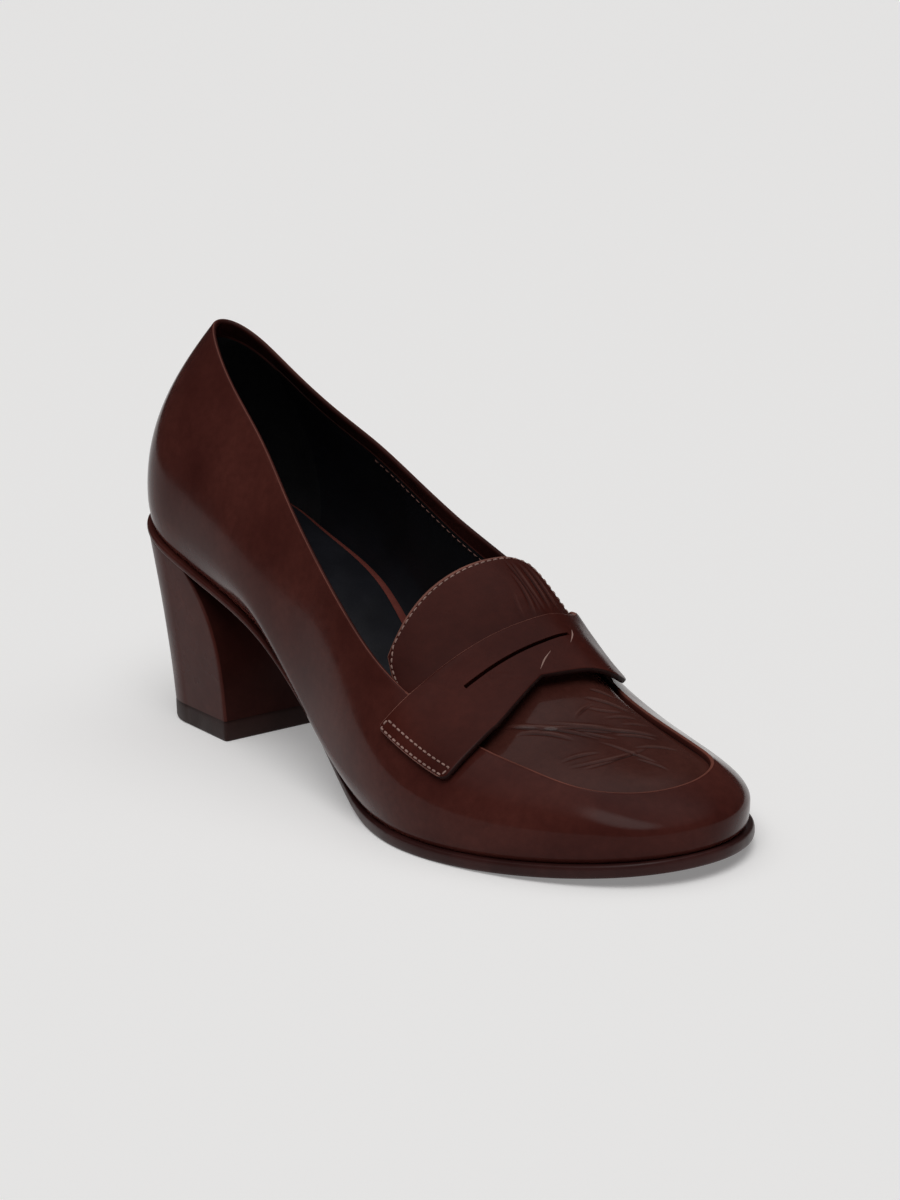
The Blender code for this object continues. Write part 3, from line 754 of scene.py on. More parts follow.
BROWN_DARK = (0.047, 0.0112, 0.0090)
BROWN_LIGHT = (0.080, 0.0215, 0.0166)
UPPER_LEATHER = leather("upper_leather", BROWN_DARK, BROWN_LIGHT, gloss=0.15, coat=0.05)
STRAP_LEATHER = leather("strap_leather", (0.042, 0.0085, 0.0062), (0.068, 0.0150, 0.0108),
                        gloss=0.28, coat=0.04)
CREASED_LEATHER = leather("creased_leather", (0.044, 0.0120, 0.0092), (0.074, 0.0230, 0.0175),
                          grain=1.3, wrinkles=0.6, gloss=0.25, coat=0.20)
TONGUE_LEATHER = leather("tongue_leather", (0.040, 0.0082, 0.0060), (0.064, 0.0145, 0.0105),
                         grain=1.2, wrinkles=0.3, gloss=0.30, coat=0.04)
# Painted shade: a darker copy of the heel leather for the heel's breast, which stands in shade under
# the arch
BREAST_SHADED_LEATHER = leather("breast_painted_shade", (0.022, 0.0052, 0.0042), (0.036, 0.0095, 0.0075),
                         grain=0.8, gloss=0.34, coat=0.0)
HEEL_LEATHER = leather("heel_leather", BROWN_DARK, BROWN_LIGHT, grain=0.8, gloss=0.28, coat=0.03)
FACING = leather("facing_leather", (0.024, 0.0062, 0.0050), (0.044, 0.0115, 0.0090),
                 gloss=0.38, coat=0.05)
BOARD_COVER = leather("board_cover", (0.130, 0.0340, 0.0270), (0.190, 0.0520, 0.0410),
                      gloss=0.40, coat=0.05)
# Light edge colour: partly the paler cut edge of the leather and partly a painted highlight
CUT_EDGE_AND_HIGHLIGHT = plain_skin("cut_edge_and_highlight", (0.20, 0.085, 0.066), 0.55, 1800.0, 0.2, 0.1)
# Painted shade: near-black colour for the shadow beneath a sheet's front edge
FRONT_EDGE_SHADE = plain_skin("front_edge_painted_shade", (0.018, 0.0055, 0.0046), 0.55, 1800.0, 0.2, 0.1)
# Painted highlight: light colour for the light line along the crest of the raised seam and the
# topline's fold
RIM_HIGHLIGHT = plain_skin("rim_painted_highlight", (0.140, 0.046, 0.033), 0.55, 1800.0, 0.15, 0.08)
LINING = plain_skin("black_lining", (0.0078, 0.0080, 0.0104), 0.42, 1400.0, 0.14, 0.25)
HEEL_GRIP = plain_skin("heel_grip", (0.0125, 0.0128, 0.0142), 0.50, 2200.0, 0.2, 0.3)
SOCK = plain_skin("sock_lining", (0.0086, 0.0090, 0.0122), 0.45, 1300.0, 0.2, 0.3)
SOLE_EDGE_PAINT = plain_skin("sole_edge", (0.036, 0.0110, 0.0100), 0.36, 700.0, 0.10, 0.15)
RUBBER = plain_skin("top_lift_rubber", (0.026, 0.0110, 0.0095), 0.50, 1100.0, 0.2, 0.15)
# Thread for the stitches, and the light colour of the painted highlight on the cut marks
THREAD_AND_CUT_HIGHLIGHT = plain_skin("thread", (0.28, 0.170, 0.145), 0.6, 2500.0, 0.3)
FACING_THREAD = plain_skin("facing_thread", (0.170, 0.080, 0.064), 0.6, 2500.0, 0.3)


# The upper

FRONT_COLUMNS = 301
BACK_COLUMNS = 280
FACING_UP = 0.935
GRIP_REACH = 0.0365
APRON_PARTS = np.concatenate([[-0.03, 0.0, 0.012, 0.028], np.linspace(0.045, 1.0, 75)])
CREASE_ZONE = (0.183, 0.222)
WALL_UPS = np.concatenate([[0.0, 0.008, 0.02, 0.04, 0.065], np.linspace(0.09, WIDEST, 11),
                           np.linspace(WIDEST, 0.92, 28)[1:],
                           [0.9345, FACING_UP, 0.95, 0.965, 0.98, 0.992, 1.0]])
THROAT_TURN = float(turn(THROAT))
FRONT = np.linspace(THROAT_TURN, 2 * math.pi - THROAT_TURN, FRONT_COLUMNS)
BACK = np.linspace(-THROAT_TURN, THROAT_TURN, BACK_COLUMNS + 2)[1:-1]
AROUND = np.concatenate([FRONT, np.mod(BACK, 2 * math.pi)])


def upper_skins():
    """Outer and inner points of the wall, row by row, round the whole shoe."""
    outer = np.stack([wall(AROUND, up) for up in WALL_UPS])
    normal = grid_normals(outer, closed=True)
    tuck = np.clip(1 - WALL_UPS / 0.065, 0.0, 1.0)[:, None]
    flat = normal.copy()
    flat[..., 2] = 0.0
    outer = outer - flat * (0.0007 * tuck ** 2)[..., None]
    outer[..., 2] -= 0.0004 * tuck
    swell = np.clip(WALL_UPS * (1 - WALL_UPS) * 6, 0.0, 1.0)[:, None, None]
    outer = outer + normal * swell * unevenness(outer, 0.00012, 0.05)
    inner = outer - normal * UPPER_WALL
    return outer, inner, normal


def build_upper():
    """Walls of the upper: leather outside, folded over the topline, lining within."""
    outer, inner, normal = upper_skins()
    columns = len(AROUND)
    back = np.concatenate([[FRONT_COLUMNS - 1], np.arange(FRONT_COLUMNS, columns), [0]])
    # The lining stands proud of the folded facing, and the heel grip a little further
    behind = (WALL_UPS < FACING_UP - 1e-4)[:, None] & np.isin(np.arange(columns), back)[None]
    grip = behind & (outer[..., 0] < GRIP_REACH)
    inner = inner - normal * (LINING_PROUD * behind + GRIP_PROUD * grip)[..., None]
    # Folded edge of the topline
    half = (outer[-1, back] - inner[-1, back]) / 2
    middle = (outer[-1, back] + inner[-1, back]) / 2
    upward = outer[-1, back] - outer[-3, back]
    upward /= np.linalg.norm(upward, axis=-1, keepdims=True)
    radius = np.linalg.norm(half, axis=-1, keepdims=True)
    fold = [math.radians(a) for a in (18, 36, 54, 70, 84)]
    fold_outer, fold_inner = (
        np.stack([middle + half * way * math.cos(a) + upward * radius * math.sin(a) for a in fold])
        for way in (1, -1))
    # Raised seam round the plug, and the wall's edge under it
    crest = ridge_under(FRONT)
    seam = outer[-1, :FRONT_COLUMNS]
    rim = []
    for across, rise in zip(*RIM.values()):
        point = towards(seam, crest, RIM_WIDTH * across)
        point[..., 2] += rise / 1000
        rim.append(point)
    rim = np.stack(rim)
    high = int(np.searchsorted(WALL_UPS, 0.92))
    below = inner[high, :FRONT_COLUMNS]
    beyond = towards(seam, crest, RIM_WIDTH * 0.8) - [0.0, 0.0, 0.0029]
    between = len(WALL_UPS) - 1 - high + len(rim)
    for row in range(high + 1, len(WALL_UPS)):
        inner[row, 1:FRONT_COLUMNS - 1] = (
            below + (beyond - below) * (row - high) / between)[1:-1]
    rim_inner = np.stack([below + (beyond - below) * (row + len(WALL_UPS) - high) / between
                          for row in range(len(rim))])
    # One list of points; seam and topline columns share the wall's top row
    blocks = [outer.reshape(-1, 3), outer[-1, :FRONT_COLUMNS], rim.reshape(-1, 3),
              outer[-1, back], fold_outer.reshape(-1, 3)]
    partners = [inner.reshape(-1, 3), inner[-1, :FRONT_COLUMNS], rim_inner.reshape(-1, 3),
                inner[-1, back], fold_inner.reshape(-1, 3)]
    wall_faces = grid_faces(len(WALL_UPS), columns, closed=True)
    start = outer[..., 0].size
    rim_faces = grid_faces(len(rim) + 1, FRONT_COLUMNS, start=start)
    start += (len(rim) + 1) * FRONT_COLUMNS
    fold_faces = grid_faces(len(fold) + 1, len(back), start=start)
    faces = np.concatenate([wall_faces, rim_faces, fold_faces]).tolist()
    # Marks: the numbers of the materials outside and inside each face
    leather_mark, lining_mark, facing_mark, grip_mark, rim_highlight_mark = range(5)
    row = np.repeat(np.arange(len(WALL_UPS) - 1), columns)
    column = np.tile(np.arange(columns), len(WALL_UPS) - 1)
    is_facing = (WALL_UPS[row] >= FACING_UP - 6e-4) & (column >= FRONT_COLUMNS)
    is_grip = grip[row, column] & grip[row + 1, column]
    inside = np.where(is_facing, facing_mark, np.where(is_grip, grip_mark, lining_mark))
    marks = [(leather_mark, int(mark)) for mark in inside]
    # Painted highlight: the crest rows of the raised seam and one row of the topline's fold take the
    # light rim colour
    marks += [(rim_highlight_mark if 2 <= r <= 5 else leather_mark, lining_mark)
              for r in range(len(rim)) for _ in range(FRONT_COLUMNS - 1)]
    marks += [(rim_highlight_mark if r == 2 else leather_mark, facing_mark)
              for r in range(len(fold)) for _ in range(len(back) - 1)]
    points, inside_points, faces, marks = weld(np.vstack(blocks), np.vstack(partners), faces, marks)
    points, faces, border = shell(points, inside_points, faces)
    marks = np.array(marks)
    indices = np.concatenate([marks[:, 0], marks[:, 1], marks[border, 1]])
    add_piece("upper_skin", points, faces, [UPPER_LEATHER, LINING, FACING, HEEL_GRIP, RIM_HIGHLIGHT],
              indices, ["upper"], 60)
    return outer, inner, normal


def apron_angles():
    """Angles of one side of the seam, closer together where the plug creases."""
    fine = np.linspace(THROAT_TURN, math.pi, 4001)
    x = top_line(fine)[:, 0]
    steps = np.linalg.norm(np.diff(top_line(fine), axis=0), axis=1)
    middle = (x[1:] + x[:-1]) / 2
    inside = (middle > CREASE_ZONE[0]) & (middle < CREASE_ZONE[1])
    count = np.concatenate([[0.0], np.cumsum(steps / np.where(inside, *APRON_STEPS))])
    return np.interp(np.linspace(0.0, count[-1], int(count[-1])), count, fine)


def softened(rows):
    """Heights of the plug evened out over a few millimetres away from the seam."""
    across = np.gradient(rows, axis=1)
    along = np.gradient(rows, axis=0)
    area = np.abs(across[..., 0] * along[..., 1] - across[..., 1] * along[..., 0])
    samples = rows[1::5, ::6].reshape(-1, 3)
    weight = area[1::5, ::6].ravel()
    smooth = rows.copy()
    for number, part in enumerate(APRON_PARTS):
        amount = np.clip((part - 0.25) / 0.4, 0.0, 1.0)
        if not amount:
            continue
        plan = rows[number]
        gap = ((plan[:, None, :2] - samples[None, :, :2]) ** 2).sum(-1)
        pull = weight * np.exp(-gap / (2 * PLUG_BLUR ** 2))
        mean = (pull[..., None] * samples).sum(1) / pull.sum(1)[:, None]
        # A mean taken off centre is carried back along the slope
        lean = np.zeros(len(plan))
        for axis in (0, 1):
            shift = plan[:, axis] - mean[:, axis]
            spread_out = (pull * (samples[None, :, axis] - mean[:, None, axis]) ** 2).sum(1)
            tilt = (pull * (samples[None, :, axis] - mean[:, None, axis])
                    * (samples[None, :, 2] - mean[:, None, 2])).sum(1)
            lean += shift * tilt / spread_out
        smooth[number, :, 2] += amount * (mean[:, 2] + lean - plan[:, 2])
    return smooth


def build_apron():
    """The plug, from just under the raised seam up to the instep ridge."""
    one_side = apron_angles()
    angle = np.concatenate([one_side, 2 * math.pi - one_side[-2::-1]])
    rows = np.stack([plug(angle, np.full(angle.shape, part)) for part in APRON_PARTS])
    rows = softened(rows)
    normal = -grid_normals(rows)
    normal *= np.sign(normal[..., 2:3])
    normal[-1] = normal[-1] + normal[-1, ::-1]
    normal /= np.linalg.norm(normal, axis=-1, keepdims=True)
    fade = np.clip(APRON_PARTS * 5, 0.0, 1.0)[:, None, None]
    top = rows + normal * fade * unevenness(rows, 0.00016, 0.03)
    top = creased(top, normal, PLUG_CREASES)
    top[-1] = (top[-1] + top[-1, ::-1]) / 2
    under = top - [0.0, 0.0, UPPER_WALL]
    faces = grid_faces(*top.shape[:2]).tolist()
    points, under, faces, _ = weld(top.reshape(-1, 3), under.reshape(-1, 3), faces,
                                   [0] * len(faces))
    points, faces, border = shell(points, under, faces)
    count = (len(faces) - len(border)) // 2
    indices = [0] * count + [1] * (len(faces) - count)
    add_piece("apron", points, faces, [CREASED_LEATHER, LINING], indices,
              ["upper"], 60, crease_lift(points, PLUG_CREASES))


# Sheets: tongue and strap

EDGE_ROUNDING = np.array([0.30, 0.66, 0.85, 0.95, 1.0])


def rounded(rows, columns):
    """Share of the full thickness of a sheet by row and column, less at its edges."""
    def ends(count):
        thick = np.ones(count)
        thick[:len(EDGE_ROUNDING)] = EDGE_ROUNDING
        thick[-len(EDGE_ROUNDING):] = EDGE_ROUNDING[::-1]
        return thick
    return np.minimum(ends(rows)[:, None], ends(columns)[None])


def edge_spacing(count, length, reach=0.0009):
    """Places from 0 to 1, five of them close together at each end."""
    near = reach / length * np.array([0.0, 0.12, 0.32, 0.60, 1.0])
    inner = np.linspace(near[-1], 1 - near[-1], count - 8)[1:-1]
    return np.concatenate([near, inner, 1 - near[::-1]])


def build_sheet(name, under, thickness, creases, materials, node, keep=None):
    """Closed sheet of real thickness with rounded edges; gives its top and normals back."""
    rows, columns = under.shape[:2]
    normal = grid_normals(under)
    normal *= np.sign(normal[rows // 2, columns // 2, 2])
    middle = under + normal * thickness / 2
    half = thickness / 2 * rounded(rows, columns)[..., None]
    top = middle + normal * (half + unevenness(middle, 0.00008, 0.02) * half / thickness * 2)
    top = creased(top, normal, creases)
    low = middle - normal * half
    faces = grid_faces(rows, columns, keep=keep)
    upside = np.cross(top[0, 1] - top[0, 0], top[1, 0] - top[0, 0]) @ normal[0, 0] > 0
    faces = (faces if upside else faces[:, ::-1]).tolist()
    row, column = (numbers.min(axis=1) for numbers in np.divmod(faces, columns))
    # The rear edge and both ends take the light edge colour, partly the paler cut edge and partly a
    # painted highlight
    at_edge = (row < 2) | (column < 2) | (column > columns - 4)
    # Painted shade: the last rows at the front, on top and underneath, take the near-black colour for
    # the shadow beneath the front edge
    at_front = row > rows - 4
    points, all_faces, border = shell(top.reshape(-1, 3), low.reshape(-1, 3), faces)
    skin_mark, edge_highlight_mark, front_shade_mark = range(3)
    shown = np.where(at_front, front_shade_mark, np.where(at_edge, edge_highlight_mark, skin_mark))
    inside = np.where(at_front, front_shade_mark, skin_mark)
    indices = np.concatenate([shown, inside, shown[border]])
    # Crease lifts of the top points, for the painted shade and highlight of creases
    crease_shading = crease_lift(points, creases) * (np.arange(len(points)) < len(points) // 2)
    add_piece(name, points, all_faces, materials, indices, [node], 70, crease_shading)
    return top, normal


def tongue_grid(rows, columns):
    """Underside of the tongue by rows from its free end and columns across it."""
    step = edge_spacing(rows, TONGUE_REACH[0])
    across = 2 * edge_spacing(columns, TONGUE_REACH[1]) - 1
    corner = np.abs(across) ** 5 * TONGUE_CORNER
    start = TONGUE_END + corner
    along = start[None] + (TONGUE_FRONT - start[None]) * step[:, None]
    signed = np.sign(across) * (1 - np.abs(across) * (1 - TONGUE_EDGE))
    part = np.broadcast_to(np.abs(signed), along.shape)
    lateral = np.broadcast_to(across < 0, along.shape)
    reach = np.interp(along, [0.58, 0.61, 0.64, 0.68], [0.0, 0.03, 0.05, 0.0])
    part = part - np.where(lateral, reach * np.clip(1 - (part - TONGUE_EDGE) / 0.3, 0, 1) ** 2, 0.0)
    angle = np.where(lateral, turn(along), 2 * math.pi - turn(along))
    return tongue_sheet(angle, part)


def strap_sheet(columns):
    """Underside of the strap, drawn taut and notched in front, and the row where its slit is."""
    ring_length = LENGTH - SEAM_SETBACK - COUNTER_LEAN
    width = STRAP_WIDTH / ring_length
    stations = np.linspace(STRAP_BACK - STRAP_ENDS["slant"].max(), STRAP_BACK + width, 20)
    ends = np.linspace(STRAP_ENDS["rear"], STRAP_ENDS["front"], len(stations))
    taut = np.array([spread(section_hull(*pair), STRAP_COLUMNS) for pair in zip(stations, ends)])
    for _ in range(3):
        taut[:, 1:-1] = (taut[:, :-2] + 2 * taut[:, 1:-1] + taut[:, 2:]) / 4
    place = edge_spacing(columns, STRAP_REACH)
    taut = catmull(taut, place * (STRAP_COLUMNS - 1), 1)
    across = 2 * place - 1
    slant = np.where(across < 0, *STRAP_ENDS["slant"]) * across ** 4
    notch = np.clip(1 - np.abs(across - NOTCH_PLACE) / NOTCH_SPREAD, 0, None) ** 1.2
    from_end = np.clip(STRAP_REACH * place, 0.0, STRAP_CORNER)
    from_far_end = np.clip(STRAP_REACH * (1 - place), 0.0, STRAP_CORNER)
    gap = STRAP_CORNER - np.minimum(from_end, from_far_end)
    corner = (STRAP_CORNER - np.sqrt(STRAP_CORNER ** 2 - gap ** 2)) / ring_length
    back = STRAP_BACK - slant + corner
    front = STRAP_BACK - slant + width - NOTCH_DEPTH / ring_length * notch - corner
    slit = (SLIT_SETBACK / ring_length - corner) / (front - back)
    slit_end = slit + SLIT_WIDTH / ring_length / (front - back)
    before = edge_spacing(22, SLIT_SETBACK)[:17]
    before = before / before[-1]
    after = edge_spacing(34, STRAP_FRONT)[-28:]
    after = (after - after[0]) / (after[-1] - after[0])
    share_rows = [slit * b for b in before] + [slit_end + (1 - slit_end) * a for a in after]
    grid = np.empty((len(share_rows), columns, 3))
    for r, row in enumerate(share_rows):
        at = (back + (front - back) * row - stations[0]) / (stations[1] - stations[0])
        for c in range(columns):
            grid[r, c] = catmull(taut[:, c], at[c:c + 1], 0)[0]
    normal = grid_normals(grid)
    normal *= np.sign(normal[5, columns // 2, 2])
    return grid + normal * STRAP_GAP, len(before) - 1


# Stitches

def tube(path, up, thick, sides, flat, lift=0.0, start=0):
    """Points and faces of a closed tube that stands lift above a path, pressed flat by a share."""
    ahead = np.gradient(path, axis=0)
    ahead /= np.linalg.norm(ahead, axis=-1, keepdims=True)
    side = np.cross(up, ahead)
    turned = np.linspace(0.0, 2 * math.pi, sides, endpoint=False)
    ring = ((path + up * lift)[:, None] + side[:, None] * (thick * np.cos(turned))[..., None]
            + up[:, None] * (thick * np.sin(turned))[..., None] * flat)
    end = start + (len(path) - 1) * sides
    faces = grid_faces(len(path), sides, closed=True, start=start).tolist()
    faces += [list(range(start, start + sides))[::-1], list(range(end, end + sides))]
    return ring.reshape(-1, 3), faces


def stitches(name, path, normals, stitch, material):
    """Short thread humps along a path, each dipping into the leather at its ends."""
    pitch, length, radius = stitch
    travelled = distances(path)
    count = max(int(travelled[-1] / pitch), 1)
    body = np.linspace(-1.0, 1.0, 7)
    thick = radius * np.sqrt(np.clip(1.02 - body ** 2, 0.02, 1.0))[:, None]
    lift = radius * 0.5 - radius * 1.3 * body[:, None] ** 4
    points, faces = [], []
    for middle in (np.arange(count) + 0.5) * travelled[-1] / count:
        where = middle + body * length / 2
        up = read_off(where, travelled, normals)
        up /= np.linalg.norm(up, axis=-1, keepdims=True)
        start = sum(map(len, points))
        hump, hump_faces = tube(read_off(where, travelled, path), up, thick, 6, 0.8, lift, start)
        points.append(hump)
        faces += hump_faces
    add_piece(name, np.vstack(points), faces, [material])


def sheet_path(top, normal, rows, columns, count=400):
    """Points and normals of a sheet along a line of fractional row and column numbers."""
    rows, columns = np.asarray(rows, float), np.asarray(columns, float)
    length = np.concatenate([[0], np.cumsum(np.hypot(np.diff(rows), np.diff(columns)))])
    at = np.linspace(0, length[-1], count)
    r, c = np.interp(at, length, rows), np.interp(at, length, columns)
    out = []
    for values in (top, normal):
        i, j = np.minimum(r.astype(int), top.shape[0] - 2), np.minimum(c.astype(int), top.shape[1] - 2)
        s, t = (r - i)[:, None], (c - j)[:, None]
        out.append(values[i, j] * (1 - s) * (1 - t) + values[i + 1, j] * s * (1 - t)
                   + values[i, j + 1] * (1 - s) * t + values[i + 1, j + 1] * s * t)
    return out


def inside_rows(top, axis, end, distance, at):
    """Row or column number that lies a distance in from one end of a sheet."""
    line = top[:, at] if axis == 0 else top[at]
    if end:
        line = line[::-1]
    number = np.interp(distance, distances(line), np.arange(len(line)))
    return len(line) - 1 - number if end else number


def build_tongue():
    under = tongue_grid(*TONGUE_GRID)
    for _ in range(TONGUE_PASSES):
        under[1:-1] = (under[:-2] + 2 * under[1:-1] + under[2:]) / 4
    top, normal = build_sheet("tongue_leaf", under, TONGUE_THICKNESS, TONGUE_CREASES,
                              [TONGUE_LEATHER, CUT_EDGE_AND_HIGHLIGHT, FRONT_EDGE_SHADE], "tongue")
    rear = inside_rows(top, 0, False, 0.0016, top.shape[1] // 2)
    near, far = (inside_rows(top, 1, end, 0.0015, 20) for end in (False, True))
    path, up = sheet_path(top, normal, [40, rear + 6, rear, rear, rear + 6, 40],
                          [near, near, near + 3, far - 3, far, far], 700)
    stitches("tongue_stitches", path, up, TONGUE_STITCH, THREAD_AND_CUT_HIGHLIGHT)


def build_strap():
    under, slit_row = strap_sheet(STRAP_FINE_COLUMNS)
    rows, columns = under.shape[:2]
    keep = np.ones((rows - 1, columns - 1), bool)
    middle = under[slit_row, :, 1] - SLIT_CENTRE * BALL_WIDTH
    open_columns = np.flatnonzero(np.abs(middle) < SLIT_LENGTH / 2)
    keep[slit_row, open_columns[:-1]] = False
    top, normal = build_sheet("strap_leaf", under, STRAP_THICKNESS, STRAP_CREASES,
                              [STRAP_LEATHER, CUT_EDGE_AND_HIGHLIGHT, FRONT_EDGE_SHADE], "saddle_strap",
                              keep)
    outer, inner = (inside_rows(top, 1, False, inset, rows // 2) for inset in (0.0012, 0.0040))
    back, front = (inside_rows(top, 0, end, 0.0016, int(round(inner))) for end in (False, True))
    path, up = sheet_path(top, normal, [back, front, front, back, back],
                          [inner, inner, outer, outer, inner], 500)
    stitches("strap_near_stitches", path, up, STRAP_STITCH, THREAD_AND_CUT_HIGHLIGHT)
    build_cuts(top, normal)


def build_cuts(top, normal):
    """Two short light lines beside the end of the slit: a painted highlight along the edges of two
    small cuts in the strap.
    """
    flat = top.reshape(-1, 3)
    up = normal.reshape(-1, 3)
    for name, marks in CUT_MARKS:
        path, lift = [], []
        for x, y in marks:
            near = np.argmin(((flat[:, :2] * 1000 - [x, y]) ** 2).sum(1))
            path.append(flat[near])
            lift.append(up[near])
        at = np.linspace(0, len(marks) - 1, 15)
        thick = 0.00022 * np.sin(np.linspace(0.12, math.pi - 0.12, len(at)))[:, None]
        points, faces = tube(catmull(np.array(path), at, 0), catmull(np.array(lift), at, 0),
                             thick, 8, 0.7)
        # The cut marks borrow the thread's light colour for their painted highlight
        add_piece(name, points, faces, [THREAD_AND_CUT_HIGHLIGHT])


# Bottom

def ring_at(angle, inset, height, low, high):
    x, y = sole_outline(angle, inset)
    base, over = low(x), high(x)
    return np.stack([x, y, base + (over - base) * height], -1)


def build_outsole():
    angle = np.linspace(0.0, 2 * math.pi, 720, endpoint=False)
    profile = ((3.0, 0.0), (1.0, 0.0), (0.55, 0.02), (0.25, 0.09), (0.08, 0.22), (0.0, 0.38),
               (0.0, 0.62), (0.06, 0.78), (0.18, 0.90), (0.40, 0.985), (0.8, 1.0), (1.6, 1.0),
               (3.0, 0.99))
    rings = [ring_at(angle, inset / 1000, height, sole_underside, sole_top)
             for inset, height in profile]
    points, faces = stack(rings)
    middle = np.array([points[face, 0].mean() for face in faces])
    add_piece("sole", points, faces, [SOLE_EDGE_PAINT, HEEL_LEATHER],
              (middle < HEEL_COVER * LENGTH).astype(int), ["outsole"], 60)


def build_insole():
    angle = np.linspace(0.0, 2 * math.pi, 480, endpoint=False)
    inset = WELT_EDGE + UPPER_WALL + 2 * CLEARANCE + LINING_PROUD

    def under(x):
        return sole_top(x) + CLEARANCE

    def over(x):
        return sole_top(x) + CLEARANCE + INSOLE_THICKNESS - SOCK_THICKNESS

    profile = ((0.0, 0.0), (0.0, 0.7), (0.2, 0.9), (0.6, 1.0), (2.0, 1.0))
    points, faces = stack([ring_at(angle, inset + extra / 1000, height, under, over)
                           for extra, height in profile])
    add_piece("insole_board", points, faces, [BOARD_COVER], nodes=["insole"], sharp=60)
    # The sock leaves a strip of the leather-covered board showing, wider towards the ball
    strip = 0.0012 + 0.0030 * np.clip(share(half_turn(angle)[1]) / 0.5, 0.0, 1.0)
    rings = []
    for extra, height in ((0.0, -0.0002), (0.0, 0.0004), (0.0003, 0.0007), (0.0009, 0.0008)):
        x, y = sole_outline(angle, inset + strip + extra)
        rings.append(np.stack([x, y, over(x) + height], -1))
    points, faces = stack(rings)
    add_piece("sock", points, faces, [SOCK], sharp=60)


def heel_ring(up, corner=0.0007, count=90):
    """Horseshoe section of the heel in plan, with its breast corners just rounded."""
    seat_half = SOLE["lateral"][3] * BALL_WIDTH - SEAT_INSET
    half = HEEL_BOTTOM_WIDTH / 2 + (seat_half - HEEL_BOTTOM_WIDTH / 2) * up
    radius = half - BACK_TAPER * (1 - up)
    back = SEAT_INSET + HEEL_RAKE * (1 - up ** 1.6)
    front = HEEL_BREAST - BREAST_SWEEP * up ** 3.2
    turned = np.linspace(0.0, math.pi / 2, count)
    x = back + radius * (1 - np.cos(turned))
    y = radius * np.sin(turned)
    side = np.linspace(0.0, 1.0, 24)[1:]
    reach = front - corner - x[-1]
    side_x = x[-1] + reach * side
    side_y = y[-1] + (half - y[-1]) * side
    bend = np.linspace(0.0, math.pi / 2, 7)[1:]
    bend_x = front - corner + corner * np.sin(bend)
    bend_y = half - corner + corner * np.cos(bend)
    x = np.concatenate([x, side_x, bend_x])
    y = np.concatenate([y, side_y, bend_y])
    return np.concatenate([x, x[:0:-1]]), np.concatenate([-y, y[:0:-1]])


def build_heel():
    seat_x = heel_ring(1.0)[0]
    floor = TOP_LIFT_THICKNESS + CLEARANCE
    rise = sole_underside(seat_x) - CLEARANCE - floor
    rings = []
    for up in np.linspace(0.0, 1.0, 60):
        x, y = heel_ring(up)
        rings.append(np.stack([x, y, floor + rise * up], -1))
    points, faces = stack(rings)
    turned = np.tile(np.arange(len(seat_x)), len(rings) - 1)
    # Painted shade: the breast face takes the darker copy of the heel leather
    breast = turned == (len(seat_x) + 1) // 2 - 1
    indices = np.concatenate([breast, np.zeros(len(faces) - len(turned), bool)]).astype(int)
    add_piece("heel_block", points, faces, [HEEL_LEATHER, BREAST_SHADED_LEATHER], indices,
              ["heel"], 40)
    x, y = heel_ring(0.0, 0.0009)
    middle = np.array([x.mean(), 0.0])
    rings = []
    for inset, height in ((0.0006, 0.0), (0.00015, 0.0003), (0.0, 0.0009), (0.0, 0.0049),
                          (0.00015, 0.0055), (0.0004, TOP_LIFT_THICKNESS + CLEARANCE)):
        away = np.stack([x, y], -1) - middle
        away /= np.linalg.norm(away, axis=-1, keepdims=True)
        plan = np.stack([x, y], -1) - away * inset
        rings.append(np.column_stack([plan, np.full(len(x), height)]))
    points, faces = stack(rings)
    add_piece("top_piece", points, faces, [RUBBER], nodes=["top_lift"], sharp=40)


def topline_stitches(outer, inner, normal):
    """Stitches inside, along the lower edge of the facing."""
    row = int(np.searchsorted(WALL_UPS, FACING_STITCH_UP))
    back = np.arange(FRONT_COLUMNS + 4, len(AROUND) - 4)
    back = back[outer[row, back, 0] > FACING_STITCH_START]
    for side, sign in (("medial", 1), ("lateral", -1)):
        some = back[outer[row, back, 1] * sign > 0]
        line = inner[row, some] - normal[row, some] * LINING_PROUD
        stitches(f"facing_stitches_{side}", line, -normal[row, some], FACING_STITCH,
                 FACING_THREAD)


skins = build_upper()
build_apron()
build_tongue()
build_strap()
build_outsole()
build_insole()
build_heel()
topline_stitches(*skins)


# Floor, light and camera

SOFT_BOX = (0.38, -0.34, 0.85)      # direction of a soft box over the near side
CAMERA_ANGLES = (54.91, 13.74, -2.26)   # azimuth, elevation and roll
CAMERA_TARGET = (0.1349, 0.0, 0.05271)
CAMERA_DISTANCE = 0.89836
CAMERA_LENS = 99.76
FLOOR_HALF = 14.0


def add_floor():
    size = FLOOR_HALF
    mesh = bpy.data.meshes.new("floor")
    corners = [(-size, -size, 0), (size, -size, 0), (size, size, 0), (-size, size, 0)]
    mesh.from_pydata(corners, [], [(0, 1, 2, 3)])
    n = Nodes("floor")
    n.finish((0.80, 0.80, 0.80), 0.9, None, Specular_IOR_Level=0.05, Emission_Strength=0.225)
    n.shader.inputs["Emission Color"].default_value = (1.0, 1.0, 1.0, 1.0)
    mesh.materials.append(n.material)
    floor = bpy.data.objects.new("floor", mesh)
    bpy.context.scene.collection.objects.link(floor)


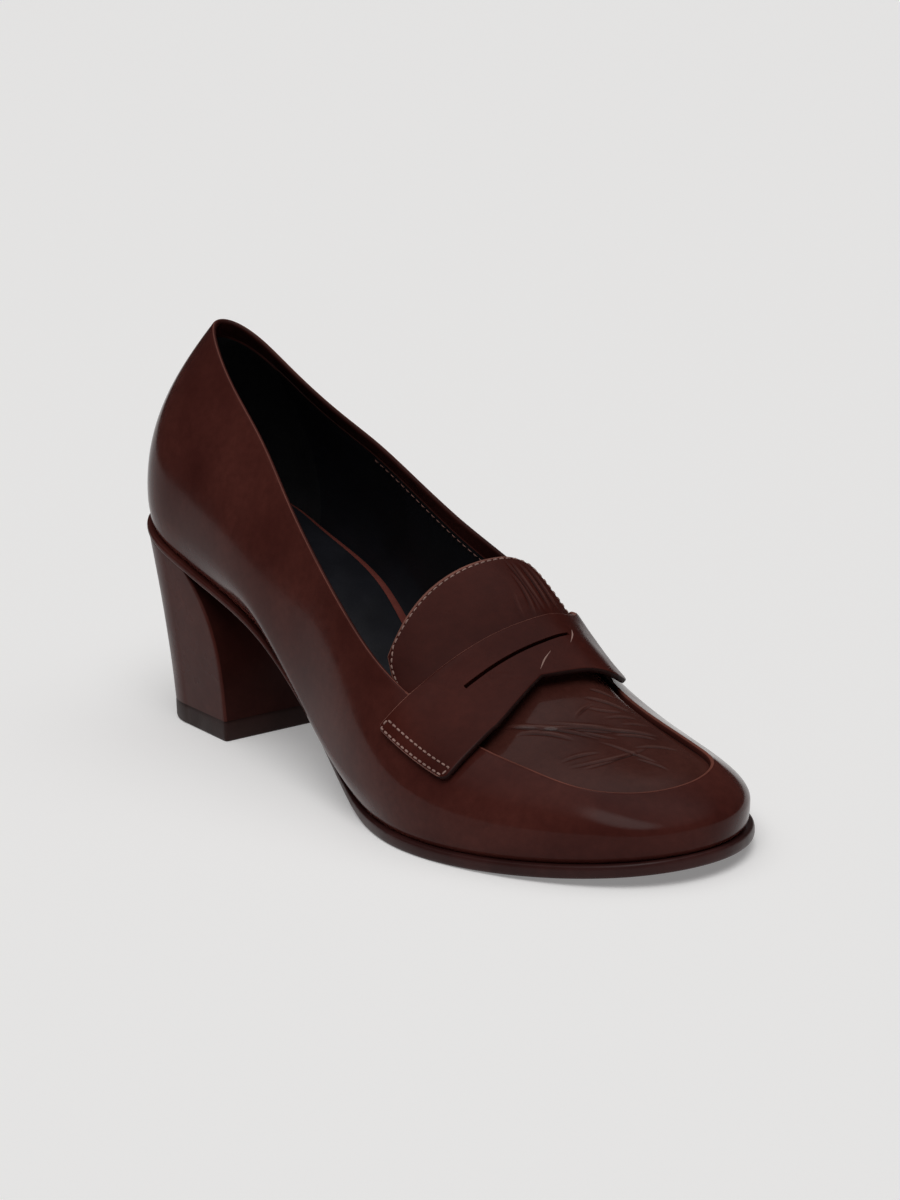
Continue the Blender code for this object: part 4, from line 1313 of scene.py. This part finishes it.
def add_camera():
    azimuth, elevation, roll = map(math.radians, CAMERA_ANGLES)
    target = np.array(CAMERA_TARGET) - CENTRE
    back = np.array([math.sin(azimuth) * math.cos(elevation),
                     -math.cos(azimuth) * math.cos(elevation), math.sin(elevation)])
    right = np.array([math.cos(azimuth), math.sin(azimuth), 0.0])
    up = np.cross(back, right)
    right, up = (right * math.cos(roll) + up * math.sin(roll),
                 up * math.cos(roll) - right * math.sin(roll))
    camera = bpy.data.cameras.new("camera")
    camera.sensor_width = 36.0
    camera.lens = CAMERA_LENS
    camera.clip_end = 50.0
    eye = bpy.data.objects.new("camera", camera)
    bpy.context.scene.collection.objects.link(eye)
    place = target + back * CAMERA_DISTANCE
    eye.matrix_world = Matrix((
        (right[0], up[0], back[0], place[0]),
        (right[1], up[1], back[1], place[1]),
        (right[2], up[2], back[2], place[2]),
        (0.0, 0.0, 0.0, 1.0)))
    bpy.context.scene.camera = eye


def add_world():
    """Studio room: dark walls up to head height and a wide soft ceiling of light."""
    world = bpy.data.worlds.new("studio")
    world.use_nodes = True
    tree = world.node_tree

    def ramp(value, *numbers):
        made = tree.nodes.new("ShaderNodeMapRange")
        made.interpolation_type = "SMOOTHSTEP"
        for key, number in zip(("From Min", "From Max", "To Min", "To Max"), numbers):
            made.inputs[key].default_value = number
        tree.links.new(value, made.inputs["Value"])
        return made.outputs["Result"]

    place = tree.nodes.new("ShaderNodeTexCoord")
    split = tree.nodes.new("ShaderNodeSeparateXYZ")
    tree.links.new(place.outputs["Generated"], split.inputs["Vector"])
    facing = tree.nodes.new("ShaderNodeVectorMath")
    facing.operation = "DOT_PRODUCT"
    facing.inputs[1].default_value = Vector(SOFT_BOX).normalized()
    tree.links.new(place.outputs["Generated"], facing.inputs[0])
    both = tree.nodes.new("ShaderNodeMath")
    tree.links.new(ramp(split.outputs["Z"], 0.58, 0.96, 0.03, 0.90), both.inputs[0])
    tree.links.new(ramp(facing.outputs["Value"], 0.90, 0.98, 0.0, 3.2), both.inputs[1])
    background = tree.nodes["Background"]
    background.inputs["Color"].default_value = (1.0, 0.99, 0.98, 1.0)
    tree.links.new(both.outputs["Value"], background.inputs["Strength"])
    bpy.context.scene.world = world


add_floor()
add_world()
add_camera()
bpy.context.scene.view_settings.view_transform = "Standard"
